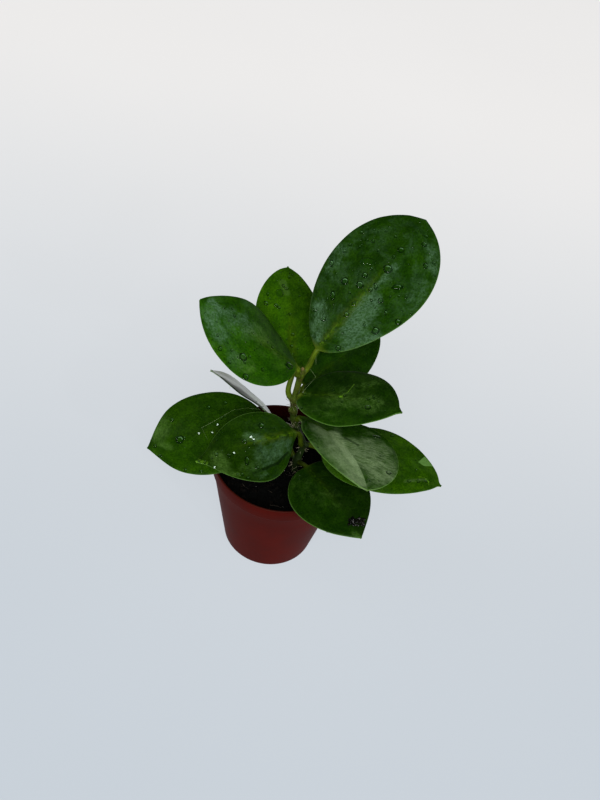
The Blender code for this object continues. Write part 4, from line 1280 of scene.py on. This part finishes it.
class HOYA_OT_stage(bpy.types.Operator):
    """Adds the pale floor, the lamps, the room's light and the camera"""
    bl_idname = "hoya.make_stage"
    bl_label = "Make Stage"

    def execute(self, context):
        settings = context.scene.hoya_stage
        self.floor(settings)
        self.room(context.scene, settings)
        for name, (azimuth, height, distance, size, share, colour) in LAMPS.items():
            self.lamp(name, way_out(azimuth, height) * distance, size, settings.lamp_power * share, colour)
        self.camera(context.scene)
        context.scene.view_settings.view_transform = "Standard"
        context.scene.view_settings.look = "Medium High Contrast"
        return {"FINISHED"}

    def floor(self, settings):
        """A wide dish: flat under the plant, with a rim that sweeps up all round."""
        start_clear()
        bpy.ops.mesh.primitive_circle_add(vertices=128, radius=FLOOR_FLAT, fill_type="NGON")
        floor = named("floor")
        bpy.ops.object.mode_set(mode="EDIT")
        bpy.ops.mesh.select_all(action="SELECT")
        bpy.ops.mesh.select_mode(type="EDGE")
        bpy.ops.mesh.region_to_loop()
        radius, level = FLOOR_FLAT, 0.0
        for step in range(1, FLOOR_STEPS + 1):
            turn = math.radians(90 * step / FLOOR_STEPS)
            wide, high = FLOOR_FLAT + FLOOR_BEND * math.sin(turn), FLOOR_RISE * (1 - math.cos(turn))
            bpy.ops.mesh.extrude_edges_move(TRANSFORM_OT_translate={"value": (0, 0, high - level)})
            ratio = wide / radius
            bpy.ops.transform.resize(value=(ratio, ratio, 1), center_override=(0, 0, high))
            radius, level = wide, high
        bpy.ops.object.mode_set(mode="OBJECT")
        bpy.ops.object.shade_smooth()
        finish = Finish("floor")
        place = finish.place()
        y = finish.split(place)[1]
        tone = finish.blend(y.step(*FLOOR_TONES), settings.near_colour, settings.far_colour)
        cloud = finish.noise(place, 3.0, 2.0).step(0.3, 0.7)
        tone = finish.blend(cloud * 0.05, tone, (0.9, 0.9, 0.9))
        base = finish.scaled(tone, [1 - settings.floor_glow] * 3)
        floor.data.materials.append(finish.surface(
            Base_Color=base, Emission_Color=tone, Emission_Strength=settings.floor_glow * FLOOR_LIGHT,
            Roughness=0.9, Specular_IOR_Level=0.2))

    def room(self, scene, settings):
        """Pale light from all round, weaker from above."""
        world = bpy.data.worlds.new("room")
        world.use_nodes = True
        tree = world.node_tree
        way = tree.nodes.new("ShaderNodeTexCoord")
        parts = tree.nodes.new("ShaderNodeSeparateXYZ")
        ramp = tree.nodes.new("ShaderNodeValToRGB")
        tree.links.new(way.outputs["Generated"], parts.inputs[0])
        tree.links.new(parts.outputs["Z"], ramp.inputs[0])
        level, above = ramp.color_ramp.elements
        level.position, level.color = 0.0, ROOM_LEVEL
        above.position, above.color = ROOM_ABOVE_FROM, ROOM_ABOVE
        back = tree.nodes["Background"]
        tree.links.new(ramp.outputs[0], back.inputs["Color"])
        back.inputs["Strength"].default_value = settings.sky
        scene.world = world

    def lamp(self, name, place, size, power, colour):
        """A round lamp that faces the plant and doesn't show itself."""
        light = bpy.data.lights.new(name, "AREA")
        light.shape = "DISK"
        light.size = size
        light.energy = power
        light.color = colour
        item = bpy.data.objects.new(name, light)
        item.location = place
        aim = Vector(LAMP_AIM) - Vector(place)
        item.rotation_mode = "QUATERNION"
        item.rotation_quaternion = aim.to_track_quat("-Z", "Y")
        item.visible_camera = False
        bpy.context.scene.collection.objects.link(item)

    def camera(self, scene):
        """The photo's camera, as worked out from the rim."""
        data = bpy.data.cameras.new("camera")
        data.sensor_width = SENSOR
        data.lens = FOCAL_PIXELS / (2 * IMAGE_MIDDLE[1]) * SENSOR
        data.clip_start, data.clip_end = 0.01, 20.0
        item = bpy.data.objects.new("camera", data)
        right, up, back = camera_axes()
        turn = Matrix((right, up, back)).transposed().to_4x4()
        item.matrix_world = Matrix.Translation(camera_place()) @ turn
        scene.collection.objects.link(item)
        scene.camera = item


class HOYA_OT_leaves(bpy.types.Operator):
    """Models the eleven leaves with their stalks"""
    bl_idname = "hoya.make_leaves"
    bl_label = "Make Leaves"

    def execute(self, context):
        for number, name in enumerate(LEAVES):
            self.leaf(name, WAVE_STEP * number)
        return {"FINISHED"}

    def leaf(self, name, phase):
        """Roll one leaf's rings into a skin and hand it over in its finish."""
        leaf = shape_of(name)
        places = [-value for value in reversed(ACROSS_HALF)] + [0.0] + list(ACROSS_HALF)
        rings, flats, blades = [], [], []
        for centre, here, share, radius, distance in self.stations(leaf):
            upper, lower, flat = [], [], []
            for place in places:
                over, under, out, edge = blade_point(leaf, phase, centre, here, share, radius, place)
                upper.append(over)
                lower.append(under)
                flat.append(Vector((out, distance, edge)) / MM)
            rings.append(upper + lower[::-1])
            flats.append(flat + flat[::-1])
            here_share = share if share > 0 else distance / (leaf["length"] * MM)
            top, bottom, margin = (Vector((side, here_share, 0)) for side in (1, 0, 0.5))
            faces = [[margin] + [side] * (len(places) - 2) + [margin] for side in (top, bottom)]
            blades.append(faces[0] + faces[1])
        piece = rolled_skin("fine_" + name, rings, {"flat": flats, "blade": blades})
        skin = BVHTree.FromObject(piece, bpy.context.evaluated_depsgraph_get())
        self.mark_film_and_sheen(piece, skin, FILM_AND_SHEEN.get(name, ()), name in SPLIT_FILM_AND_SHEEN)
        light_patch = [self.flat_place(piece, skin, pixel) for pixel in PAINTED_LIGHT_PATCH.get(name, ())]
        lines = [(self.flat_place(piece, skin, start), self.flat_place(piece, skin, end), *rest)
                 for start, end, *rest in LINES.get(name, ())]
        pick(piece)
        bpy.ops.object.shade_smooth_by_angle(angle=math.radians(60))
        look = look_of(name)
        hand_over(piece, leaf_finish(name, look, light_patch, lines), look["slot"], "leaf_" + name)

    def flat_place(self, piece, skin, pixel):
        """Where a pixel lies on the flattened blade, in millimetres."""
        point, normal, face = seen_point(skin, *pixel)
        corners = piece.data.polygons[face].vertices
        flat = piece.data.attributes["flat"].data
        weights = poly_3d_calc([piece.data.vertices[corner].co for corner in corners], point)
        return sum((Vector(flat[corner].vector[:2]) * weight for corner, weight in zip(corners, weights)),
                   Vector((0, 0)))

    def mark_film_and_sheen(self, piece, skin, strokes, stops):
        """Write how thick the film and its painted sheen are into the third part of the blade attribute.

        With stops, a stroke with both its ends in one half of the blade stops at the midrib.
        """
        flat = [Vector(item.vector[:2]) for item in piece.data.attributes["flat"].data]
        blade = piece.data.attributes["blade"].data
        for start, end, half, strength in strokes:
            low, high = (self.flat_place(piece, skin, pixel) for pixel in (start, end))
            way = high - low
            one_side = stops and low.x * high.x > 0
            for spot, mark in zip(flat, blade):
                if one_side and spot.x * low.x < 0:
                    continue
                share = min(max((spot - low).dot(way) / max(way.length_squared, 1e-9), 0.0), 1.0)
                fade = min(max(1.5 - (spot - low - way * share).length / half, 0.0), 1.0)
                mark.vector[2] = max(mark.vector[2], strength * fade)

    def stations(self, leaf):
        """Centre, frame, share, stalk radius and distance from the base, stalk first."""
        leave = way_out(leaf["side"], leaf["lift"])
        start = stem_point(leaf["node"] * MM) + leave * (CUSHION_REACH - STALK_SINK)
        end = Vector(leaf["base"]) * MM
        first = leaf_frame(leaf, 0.0)
        chord = (end - start).length
        pull_out, pull_in = leave * chord, first.col[0] * chord
        count = max(4, round(chord / STALK_STEP))
        rows = []
        left = first.col[1]
        for number in reversed(range(count)):
            share = number / count
            centre = (start * (2 * share ** 3 - 3 * share ** 2 + 1)
                      + pull_out * (share ** 3 - 2 * share ** 2 + share)
                      + end * (3 * share ** 2 - 2 * share ** 3) + pull_in * (share ** 3 - share ** 2))
            way = (start * (6 * share ** 2 - 6 * share) + pull_out * (3 * share ** 2 - 4 * share + 1)
                   + end * (6 * share - 6 * share ** 2) + pull_in * (3 * share ** 2 - 2 * share))
            way = way.normalized()
            left = (left - way * left.dot(way)).normalized()
            here = Matrix((way, left, way.cross(left))).transposed()
            radius = STALK_RADIUS + STALK_SWELLING * (1 - share) ** 2
            rows.append((centre, here, 0.0, radius, (share - 1) * chord))
        rows.reverse()
        points = midrib(leaf)
        for station in self.shares():
            share = station / MIDRIB_STEPS
            distance = share * leaf["length"] * MM
            rows.append((points[station], leaf_frame(leaf, share), share, STALK_RADIUS, distance))
        return rows

    def shares(self):
        """Close together at the base and the tip, a step of two between."""
        last = MIDRIB_STEPS - TIP_STATIONS
        middle = range(BASE_STATIONS, last, 2)
        return [*range(BASE_STATIONS), *middle, *range(last, MIDRIB_STEPS + 1)]


class HOYA_OT_stem(bpy.types.Operator):
    """Gives the stem a fine skin and adds its hair roots"""
    bl_idname = "hoya.make_stem"
    bl_label = "Make Stem"

    def execute(self, context):
        settings = context.scene.hoya_stem
        solid = frame["nodes"]["stem"]
        stem = bpy.data.objects.new("fine_stem", solid.data.copy())
        context.scene.collection.objects.link(stem)
        pick(stem)
        bpy.ops.object.mode_set(mode="EDIT")
        close_skin(0.002 * MM)
        bpy.ops.object.mode_set(mode="OBJECT")
        add_modifier(stem, "REMESH", mode="VOXEL", voxel_size=settings.voxel)
        add_modifier(stem, "SMOOTH", factor=0.6, iterations=5)
        normals = [vert.normal.copy() for vert in stem.data.vertices]
        for vert, normal in zip(stem.data.vertices, normals):
            ridge = noise.noise(Vector((vert.co.x, vert.co.y, vert.co.z * 0.25)) / RIDGE_SIZE)
            knob = noise.noise(vert.co / KNOB_SIZE)
            vert.co += normal * (RIDGE_HEIGHT * ridge + KNOB_HEIGHT * knob) * MM
        bpy.ops.object.shade_smooth()
        hand_over(stem, stem_finish(), "stem_green", "stem")
        self.rootlets(settings)
        return {"FINISHED"}

    def rootlets(self, settings):
        """Pale hair roots at the low nodes and where the stem leaves the soil."""
        draw = random.Random(ROOT_SEED)
        paths = []
        for height in ROOTED_HEIGHTS:
            for number in range(settings.rootlets):
                side = 360 * draw.random()
                start = stem_point((height + draw.uniform(-ROOTLET_SPREAD, ROOTLET_SPREAD)) * MM)
                way = way_out(side, draw.uniform(-ROOTLET_TILT, ROOTLET_TILT))
                reach = draw.uniform(*ROOTLET_REACH) * MM
                path = [start + way * ROOTLET_START * MM]
                for step in range(ROOTLET_PARTS):
                    bend = Vector((draw.uniform(-1, 1), draw.uniform(-1, 1), draw.uniform(-1.1, 0.7)))
                    way = (way + bend * ROOTLET_BEND).normalized()
                    path.append(path[-1] + way * reach / ROOTLET_PARTS)
                paths.append(path)
        roots = thread("hair_roots", paths, HAIR_ROOT_RADIUS)
        finish = thread_finish("hair_roots", (0.07, 0.065, 0.035), (0.26, 0.24, 0.17))
        hand_over(roots, finish, "stem_green")


class HOYA_OT_pot(bpy.types.Operator):
    """Turns the pot with its collar, lip, foot and drain holes"""
    bl_idname = "hoya.make_pot"
    bl_label = "Make Pot"

    def execute(self, context):
        settings = context.scene.hoya_pot
        pot = turned_skin("fine_pot", self.profile(settings), settings.sides)
        self.drill(pot)
        pick(pot)
        bpy.ops.object.shade_smooth_by_angle(angle=math.radians(34))
        hand_over(pot, pot_finish(), "pot_plastic", "pot")
        return {"FINISHED"}

    def profile(self, settings):
        """Radius and height, from near the middle of the base, out, over the lip and in."""
        collar_foot = POT_HEIGHT - COLLAR_HEIGHT
        band = RIM_RADIUS - COLLAR_DRAFT
        top = band - COLLAR_STEP
        slope = (top - BASE_RADIUS) / collar_foot
        middle = 0.5 * MM
        lip = settings.lip_round
        wall = [(BASE_RADIUS + slope * height * MM, height * MM) for height in WALL_HEIGHTS]
        turns = [math.radians(step * 22.5) for step in range(5)]
        lip_out = [(RIM_RADIUS - lip + lip * math.cos(turn), POT_HEIGHT - lip + lip * math.sin(turn))
                   for turn in turns]
        lip_in = [(RIM_RADIUS - POT_WALL + lip - lip * math.sin(turn),
                   POT_HEIGHT - lip + lip * math.cos(turn)) for turn in turns[1:]]
        inner = [(BASE_RADIUS + slope * height * MM - POT_WALL, height * MM)
                 for height in INNER_HEIGHTS]
        return ([(middle, 0.0), (PAD_RADIUS - 0.2 * MM, 0.0), (PAD_RADIUS, 0.2 * MM),
                 (PAD_RADIUS + POT_EASE, CHANNEL_DEPTH),
                 (BASE_RADIUS - FOOT_WIDTH - POT_EASE, CHANNEL_DEPTH),
                 (BASE_RADIUS - FOOT_WIDTH, 0.2 * MM), (BASE_RADIUS - FOOT_WIDTH + 0.2 * MM, 0.0),
                 (BASE_RADIUS - POT_EASE, 0.0), (BASE_RADIUS - 0.15 * MM, 0.15 * MM)]
                + wall
                + [(top + 0.12 * MM, collar_foot - 0.15 * MM), (band - 0.12 * MM, collar_foot + 0.1 * MM),
                   (band, collar_foot + 0.4 * MM), (RIM_RADIUS - 0.12 * MM, POT_HEIGHT - 1.9 * MM),
                   (RIM_RADIUS - 0.1 * MM, POT_HEIGHT - 1.4 * MM)]
                + lip_out + lip_in
                + [(band - POT_WALL, collar_foot + 1.0 * MM), (top - POT_WALL, collar_foot - 1.0 * MM)]
                + inner
                + [(BASE_RADIUS - POT_WALL - 0.4 * MM, FLOOR_TOP), (middle, FLOOR_TOP)])

    def drill(self, pot):
        """Cut the ring of drain holes through the floor."""
        cutters = []
        for number in range(DRAIN_COUNT):
            turn = 2 * math.pi * (number + 0.5) / DRAIN_COUNT
            start_clear()
            bpy.ops.mesh.primitive_cylinder_add(
                vertices=32, radius=DRAIN_RADIUS, depth=4 * FLOOR_TOP,
                location=(DRAIN_CIRCLE * math.cos(turn), DRAIN_CIRCLE * math.sin(turn), FLOOR_TOP))
            cutters.append(named("drain_cutter"))
        for cutter in cutters:
            add_modifier(pot, "BOOLEAN", operation="DIFFERENCE", object=cutter, solver="EXACT")
        for cutter in cutters:
            bpy.data.objects.remove(cutter, do_unlink=True)


class HOYA_OT_soil(bpy.types.Operator):
    """Fills the pot with rough soil and strews crumbs, pale specks and threads on it"""
    bl_idname = "hoya.make_soil"
    bl_label = "Make Soil"

    def execute(self, context):
        settings = context.scene.hoya_soil
        draw = random.Random(settings.seed)
        foot = BASE_RADIUS - POT_WALL - SOIL_GAP
        wall = inner_line(SOIL_TOP / MM) * MM - SOIL_EASE
        bottom = FLOOR_TOP + SOIL_GAP
        profile = [(0.4 * MM, bottom), (foot - 1.0 * MM, bottom), (foot, bottom + 1.0 * MM),
                   (wall, SOIL_TOP - 1.2 * MM)]
        profile += [(wall * (1 - step / SOIL_RINGS) + 0.2 * MM * step / SOIL_RINGS, SOIL_TOP)
                    for step in range(0, SOIL_RINGS + 1)]
        soil = turned_skin("fine_soil", profile, SOIL_SIDES)
        for vert in soil.data.vertices:
            if vert.co.z > SOIL_TOP - 0.5 * MM:
                vert.co.z = self.height(settings, vert.co.x, vert.co.y)
        pick(soil)
        bpy.ops.object.shade_smooth_by_angle(angle=math.radians(40))
        hand_over(soil, soil_finish(), "potting_soil", "soil")
        self.crumbs(settings, draw, wall)
        self.specks(settings, draw, wall)
        self.threads(settings, draw, wall)
        return {"FINISHED"}

    def height(self, settings, x, y):
        """Heaps as on the solid, with clods and grains on them."""
        heap = noise.noise(Vector((x, y, 0.0)) / HEAP_SIZE)
        crumb = noise.voronoi(Vector((x, y, SOIL_TOP)) / CRUMB_SIZE)[0][0]
        clod = noise.noise(Vector((x, y, 0.01)) / CLOD_SIZE)
        grain = noise.noise(Vector((x, y, 0.02)) / GRAIN_SIZE)
        return (SOIL_TOP + settings.relief * (0.9 * heap + 0.5 - 1.3 * crumb)
                + CLOD_HEIGHT * clod + GRAIN_HEIGHT * grain)

    def spot(self, settings, draw, wall, edge):
        """A random place on the soil, evenly strewn."""
        turn = 2 * math.pi * draw.random()
        reach = (wall - edge) * math.sqrt(draw.random())
        x, y = reach * math.cos(turn), reach * math.sin(turn)
        return Vector((x, y, self.height(settings, x, y)))

    def tumbled(self, draw, place, size):
        """A copy's place, turned at random and stretched a little."""
        angle = draw.uniform(0, 6.3)
        turn = Matrix.Rotation(angle, 4, Vector((draw.random(), draw.random(), draw.random())))
        scale = Matrix.Diagonal((size * draw.uniform(0.7, 1.3), size * draw.uniform(0.5, 1.0), size, 1))
        return Matrix.Translation(place) @ turn @ scale

    def crumbs(self, settings, draw, wall):
        """Crumbs of soil and bark, most of them small."""
        models = [lump(f"crumb_{number}", 0.75, 0.7, 7.0 * number) for number in range(5)]
        places = []
        for number in range(settings.crumbs):
            size = CRUMB_LEAST + CRUMB_MORE * draw.random() ** 3
            place = self.spot(settings, draw, wall, 0.6 * size)
            places.append(self.tumbled(draw, place, size))
        crumbs = placed_copies("soil_crumbs", models, places)
        dark, light = Vector(settings.colour) * 0.8, Vector(settings.bark_colour) * 0.7
        hand_over(crumbs, bits_finish("crumb", dark, light, 0.72), "potting_soil")

    def specks(self, settings, draw, wall):
        """Pale grains of perlite and sand that stand out of the soil."""
        models = [lump(f"speck_{number}", 0.8, 0.6, 3.0 * number, 6, 4) for number in range(3)]
        places = []
        for number in range(settings.specks):
            size = (SPECK_LEAST + SPECK_MORE * draw.random() ** 2) * MM
            place = self.spot(settings, draw, wall, 0.6 * size) + Vector((0, 0, SPECK_LIFT))
            places.append(self.tumbled(draw, place, size))
        specks = placed_copies("soil_specks", models, places)
        hand_over(specks, bits_finish("speck", (0.20, 0.18, 0.16), (0.50, 0.48, 0.45), 0.7), "potting_soil")

    def threads(self, settings, draw, wall):
        """Wandering threads of root and moss just above the soil."""
        paths = []
        for number in range(settings.threads):
            spot = self.spot(settings, draw, wall, 4 * MM)
            way = 2 * math.pi * draw.random()
            step = draw.uniform(*THREAD_STEP) * MM
            path = []
            for part in range(THREAD_PARTS):
                lift = THREAD_LIFT + THREAD_LIFT_MORE * draw.random()
                path.append(Vector((spot.x, spot.y, self.height(settings, spot.x, spot.y) + lift)))
                way += draw.uniform(-THREAD_TURN, THREAD_TURN)
                spot = spot + Vector((math.cos(way), math.sin(way), 0)) * step
            paths.append(path)
        threads = thread("soil_threads", paths, THREAD_RADIUS, 1)
        finish = thread_finish("soil_thread", (0.012, 0.009, 0.006), (0.060, 0.045, 0.030))
        hand_over(threads, finish, "potting_soil")


class HOYA_OT_water(bpy.types.Operator):
    """Sets drops of water and a mist of droplets on the leaves"""
    bl_idname = "hoya.make_water"
    bl_label = "Make Water Drops"

    def execute(self, context):
        settings = context.scene.hoya_water
        material = water_finish()
        eye = camera_place()
        right, up, back = camera_axes()
        for name in LEAVES:
            draw = random.Random(f"{settings.seed} {name}")
            leaf = bpy.data.objects["fine_" + name]
            skin = BVHTree.FromObject(leaf, context.evaluated_depsgraph_get())
            look = look_of(name)
            seen = [(*drop, QUIET_DROP if drop[:2] in QUIET else USUAL_DROP) for drop in DROPS.get(name, ())]
            for across, down in DROPLETS.get(name, ()):
                seen.append((across, down, draw.uniform(*UNSIZED), draw.uniform(*UNSIZED), USUAL_DROP))
            for across, down in GLINTS.get(name, ()):
                seen.append((across, down, GLINT_SIZE, GLINT_SIZE, GLINT_DROP))
            drops = []
            for across, down, wide, high, shine in seen:
                point, normal, face = seen_point(skin, across, down)
                scale = -(point - eye).dot(back) / FOCAL_PIXELS
                scale *= min(1.0, self.room(leaf, face) / (max(wide, high) * scale / 2))
                drops.append(self.drop(point, normal, right, wide * scale, high * scale, settings))
            if drops:
                models = [self.model(f"drop_big_{number}", 20, 12, number) for number in range(4)]
                piece = placed_copies("drops_" + name, models, drops, [item[-1] for item in seen])
                self.finished(piece, material, look["slot"])
            mist = self.mist(name, look["mist"], skin, draw, settings)
            models = [self.model(f"drop_small_{number}", 8, 5, 9 + number) for number in range(3)]
            piece = placed_copies("mist_" + name, models, mist)
            self.finished(piece, material, look["slot"])
        return {"FINISHED"}

    def room(self, leaf, face):
        """How far a face of the blade lies from the margin, and never less than a small drop needs."""
        flat = leaf.data.attributes["flat"].data
        corners = leaf.data.polygons[face].vertices
        return max(sum(flat[corner].vector[2] for corner in corners) / len(corners), 0.5) * MM

    def finished(self, piece, material, slot):
        """Clear drops cast no shadow, so that the leaf below them stays lit."""
        piece.data.shade_smooth()
        piece.visible_shadow = False
        hand_over(piece, material, slot)

    def model(self, name, segments, rings, seed):
        """A dome one unit wide and high: a sphere with a wavy outline, sunk by a third."""
        start_clear()
        bpy.ops.mesh.primitive_uv_sphere_add(segments=segments, ring_count=rings, radius=0.5)
        piece = named(name)
        for vert in piece.data.vertices:
            flat = Vector((vert.co.x, vert.co.y, 0)) * DROP_RIPPLES
            push = 1 + DROP_WAVINESS * noise.noise(flat + Vector((0, 0, 5.0 * seed)))
            vert.co = Vector((vert.co.x * push, vert.co.y * push, vert.co.z + DROP_RAISED))
        return piece

    def drop(self, point, normal, axis, long, wide, settings):
        """The place of a model of a drop: its long side lies along the axis, flat on the leaf."""
        axis = (axis - normal * axis.dot(normal)).normalized()
        side = normal.cross(axis)
        turn = Matrix((axis, side, normal)).transposed().to_4x4()
        high = settings.height * math.sqrt(long * wide)
        return Matrix.Translation(point) @ turn @ Matrix.Diagonal((long, wide, high, 1))

    def mist(self, name, count, skin, draw, settings):
        """Droplets thrown at random on the blade's upper side."""
        leaf = shape_of(name)
        points = midrib(leaf)
        phase = WAVE_STEP * list(LEAVES).index(name)
        places = []
        for number in range(count):
            station = draw.randint(*MIST_STATIONS)
            share = station / MIDRIB_STEPS
            place = draw.uniform(-MIST_ACROSS, MIST_ACROSS)
            here = leaf_frame(leaf, share)
            over = blade_point(leaf, phase, points[station], here, share, STALK_RADIUS, place)[0]
            point, normal = skin.find_nearest(over)[:2]
            size = settings.small + (settings.large - settings.small) * draw.random() ** MIST_POWER
            axis = here.col[0] * math.cos(number) + here.col[1] * math.sin(number)
            long = size * draw.uniform(*MIST_STRETCH)
            places.append(self.drop(point, normal, axis, long, size, settings))
        return places


class HOYA_OT_debris(bpy.types.Operator):
    """Lays the loose hairs and the splashed soil on the leaves"""
    bl_idname = "hoya.make_debris"
    bl_label = "Make Debris"

    def execute(self, context):
        self.hairs(context)
        self.splash(context)
        return {"FINISHED"}

    def skin(self, context, name):
        leaf = bpy.data.objects["fine_" + name]
        return BVHTree.FromObject(leaf, context.evaluated_depsgraph_get())

    def hairs(self, context):
        """Loose hairs just in front of the leaf that each one lies on."""
        eye = camera_place()
        paths = []
        for name, pixels in HAIRS:
            skin = self.skin(context, name)
            path = []
            depth = (seen_point(skin, *pixels[0])[0] - eye).length
            for (across, down), (next_across, next_down) in zip(pixels, pixels[1:]):
                for share in (0.0, 0.34, 0.67, 1.0):
                    way = pixel_ray(
                        across + (next_across - across) * share, down + (next_down - down) * share)
                    depth = skin.ray_cast(eye, way)[3] or depth
                    path.append(eye + way * (depth - HAIR_LIFT))
            paths.append(path)
        hairs = thread("hairs", paths, HAIR_RADIUS, 1)
        hand_over(hairs, thread_finish("hair", (0.09, 0.13, 0.05), (0.20, 0.26, 0.13)), "leaf_dark")

    def splash(self, context):
        """A wet clump of soil near the tip of the front leaf, and crumbs by its margin."""
        draw = random.Random(SPLASH_SEED)
        skin = self.skin(context, "bottom_front")
        places = []
        for middle, spread, count, largest in SPLASHES:
            for number in range(count):
                across = middle[0] + spread[0] * draw.uniform(-1, 1)
                down = middle[1] + spread[1] * draw.uniform(-1, 1)
                point = seen_point(skin, across, down)[0]
                size = largest * MM * (0.35 + 0.65 * draw.random() ** 2)
                turn = Matrix.Rotation(draw.uniform(0, 6.3), 4, Vector((0.3, 0.2, 1)))
                scale = Matrix.Diagonal((size, size * 0.8, size * 0.5, 1))
                places.append(Matrix.Translation(point) @ turn @ scale)
        models = [lump(f"splash_{number}", 0.8, 0.7, 11.0 * number) for number in range(3)]
        clump = placed_copies("splashed_soil", models, places)
        wet = bits_finish("splash", (0.0010, 0.0013, 0.0009), (0.004, 0.004, 0.002), 0.16, 0.3)
        hand_over(clump, wet, "potting_soil")


class HOYA_PT_panel(bpy.types.Panel):
    """Sizes and colours of the plant, and a button for each piece"""
    bl_idname = "HOYA_PT_panel"
    bl_label = "Potted Hoya"
    bl_space_type = "VIEW_3D"
    bl_region_type = "UI"
    bl_category = "Hoya"

    def draw(self, context):
        for key, (settings, operators) in SECTIONS.items():
            box = self.layout.box()
            for operator in operators:
                box.operator(operator.bl_idname)
            group = getattr(context.scene, key)
            for name in settings.__annotations__:
                box.prop(group, name)


SECTIONS = {
    "hoya_stage": (HoyaStageSettings, (HOYA_OT_stage,)),
    "hoya_leaves": (HoyaLeafSettings, (HOYA_OT_leaves,)),
    "hoya_stem": (HoyaStemSettings, (HOYA_OT_stem,)),
    "hoya_pot": (HoyaPotSettings, (HOYA_OT_pot,)),
    "hoya_soil": (HoyaSoilSettings, (HOYA_OT_soil,)),
    "hoya_water": (HoyaWaterSettings, (HOYA_OT_water, HOYA_OT_debris)),
}


def all_classes():
    found = []
    for settings, operators in SECTIONS.values():
        found += [settings, *operators]
    return found + [HOYA_PT_panel]


def register():
    for item in all_classes():
        bpy.utils.register_class(item)
    for key, (settings, operators) in SECTIONS.items():
        setattr(bpy.types.Scene, key, PointerProperty(type=settings))


def unregister():
    for key in SECTIONS:
        delattr(bpy.types.Scene, key)
    for item in reversed(all_classes()):
        bpy.utils.unregister_class(item)


def main():
    register()
    bpy.ops.hoya.make_stage()
    bpy.ops.hoya.make_leaves()
    bpy.ops.hoya.make_stem()
    bpy.ops.hoya.make_pot()
    bpy.ops.hoya.make_soil()
    bpy.ops.hoya.make_water()
    bpy.ops.hoya.make_debris()


if __name__ == "__main__":
    main()
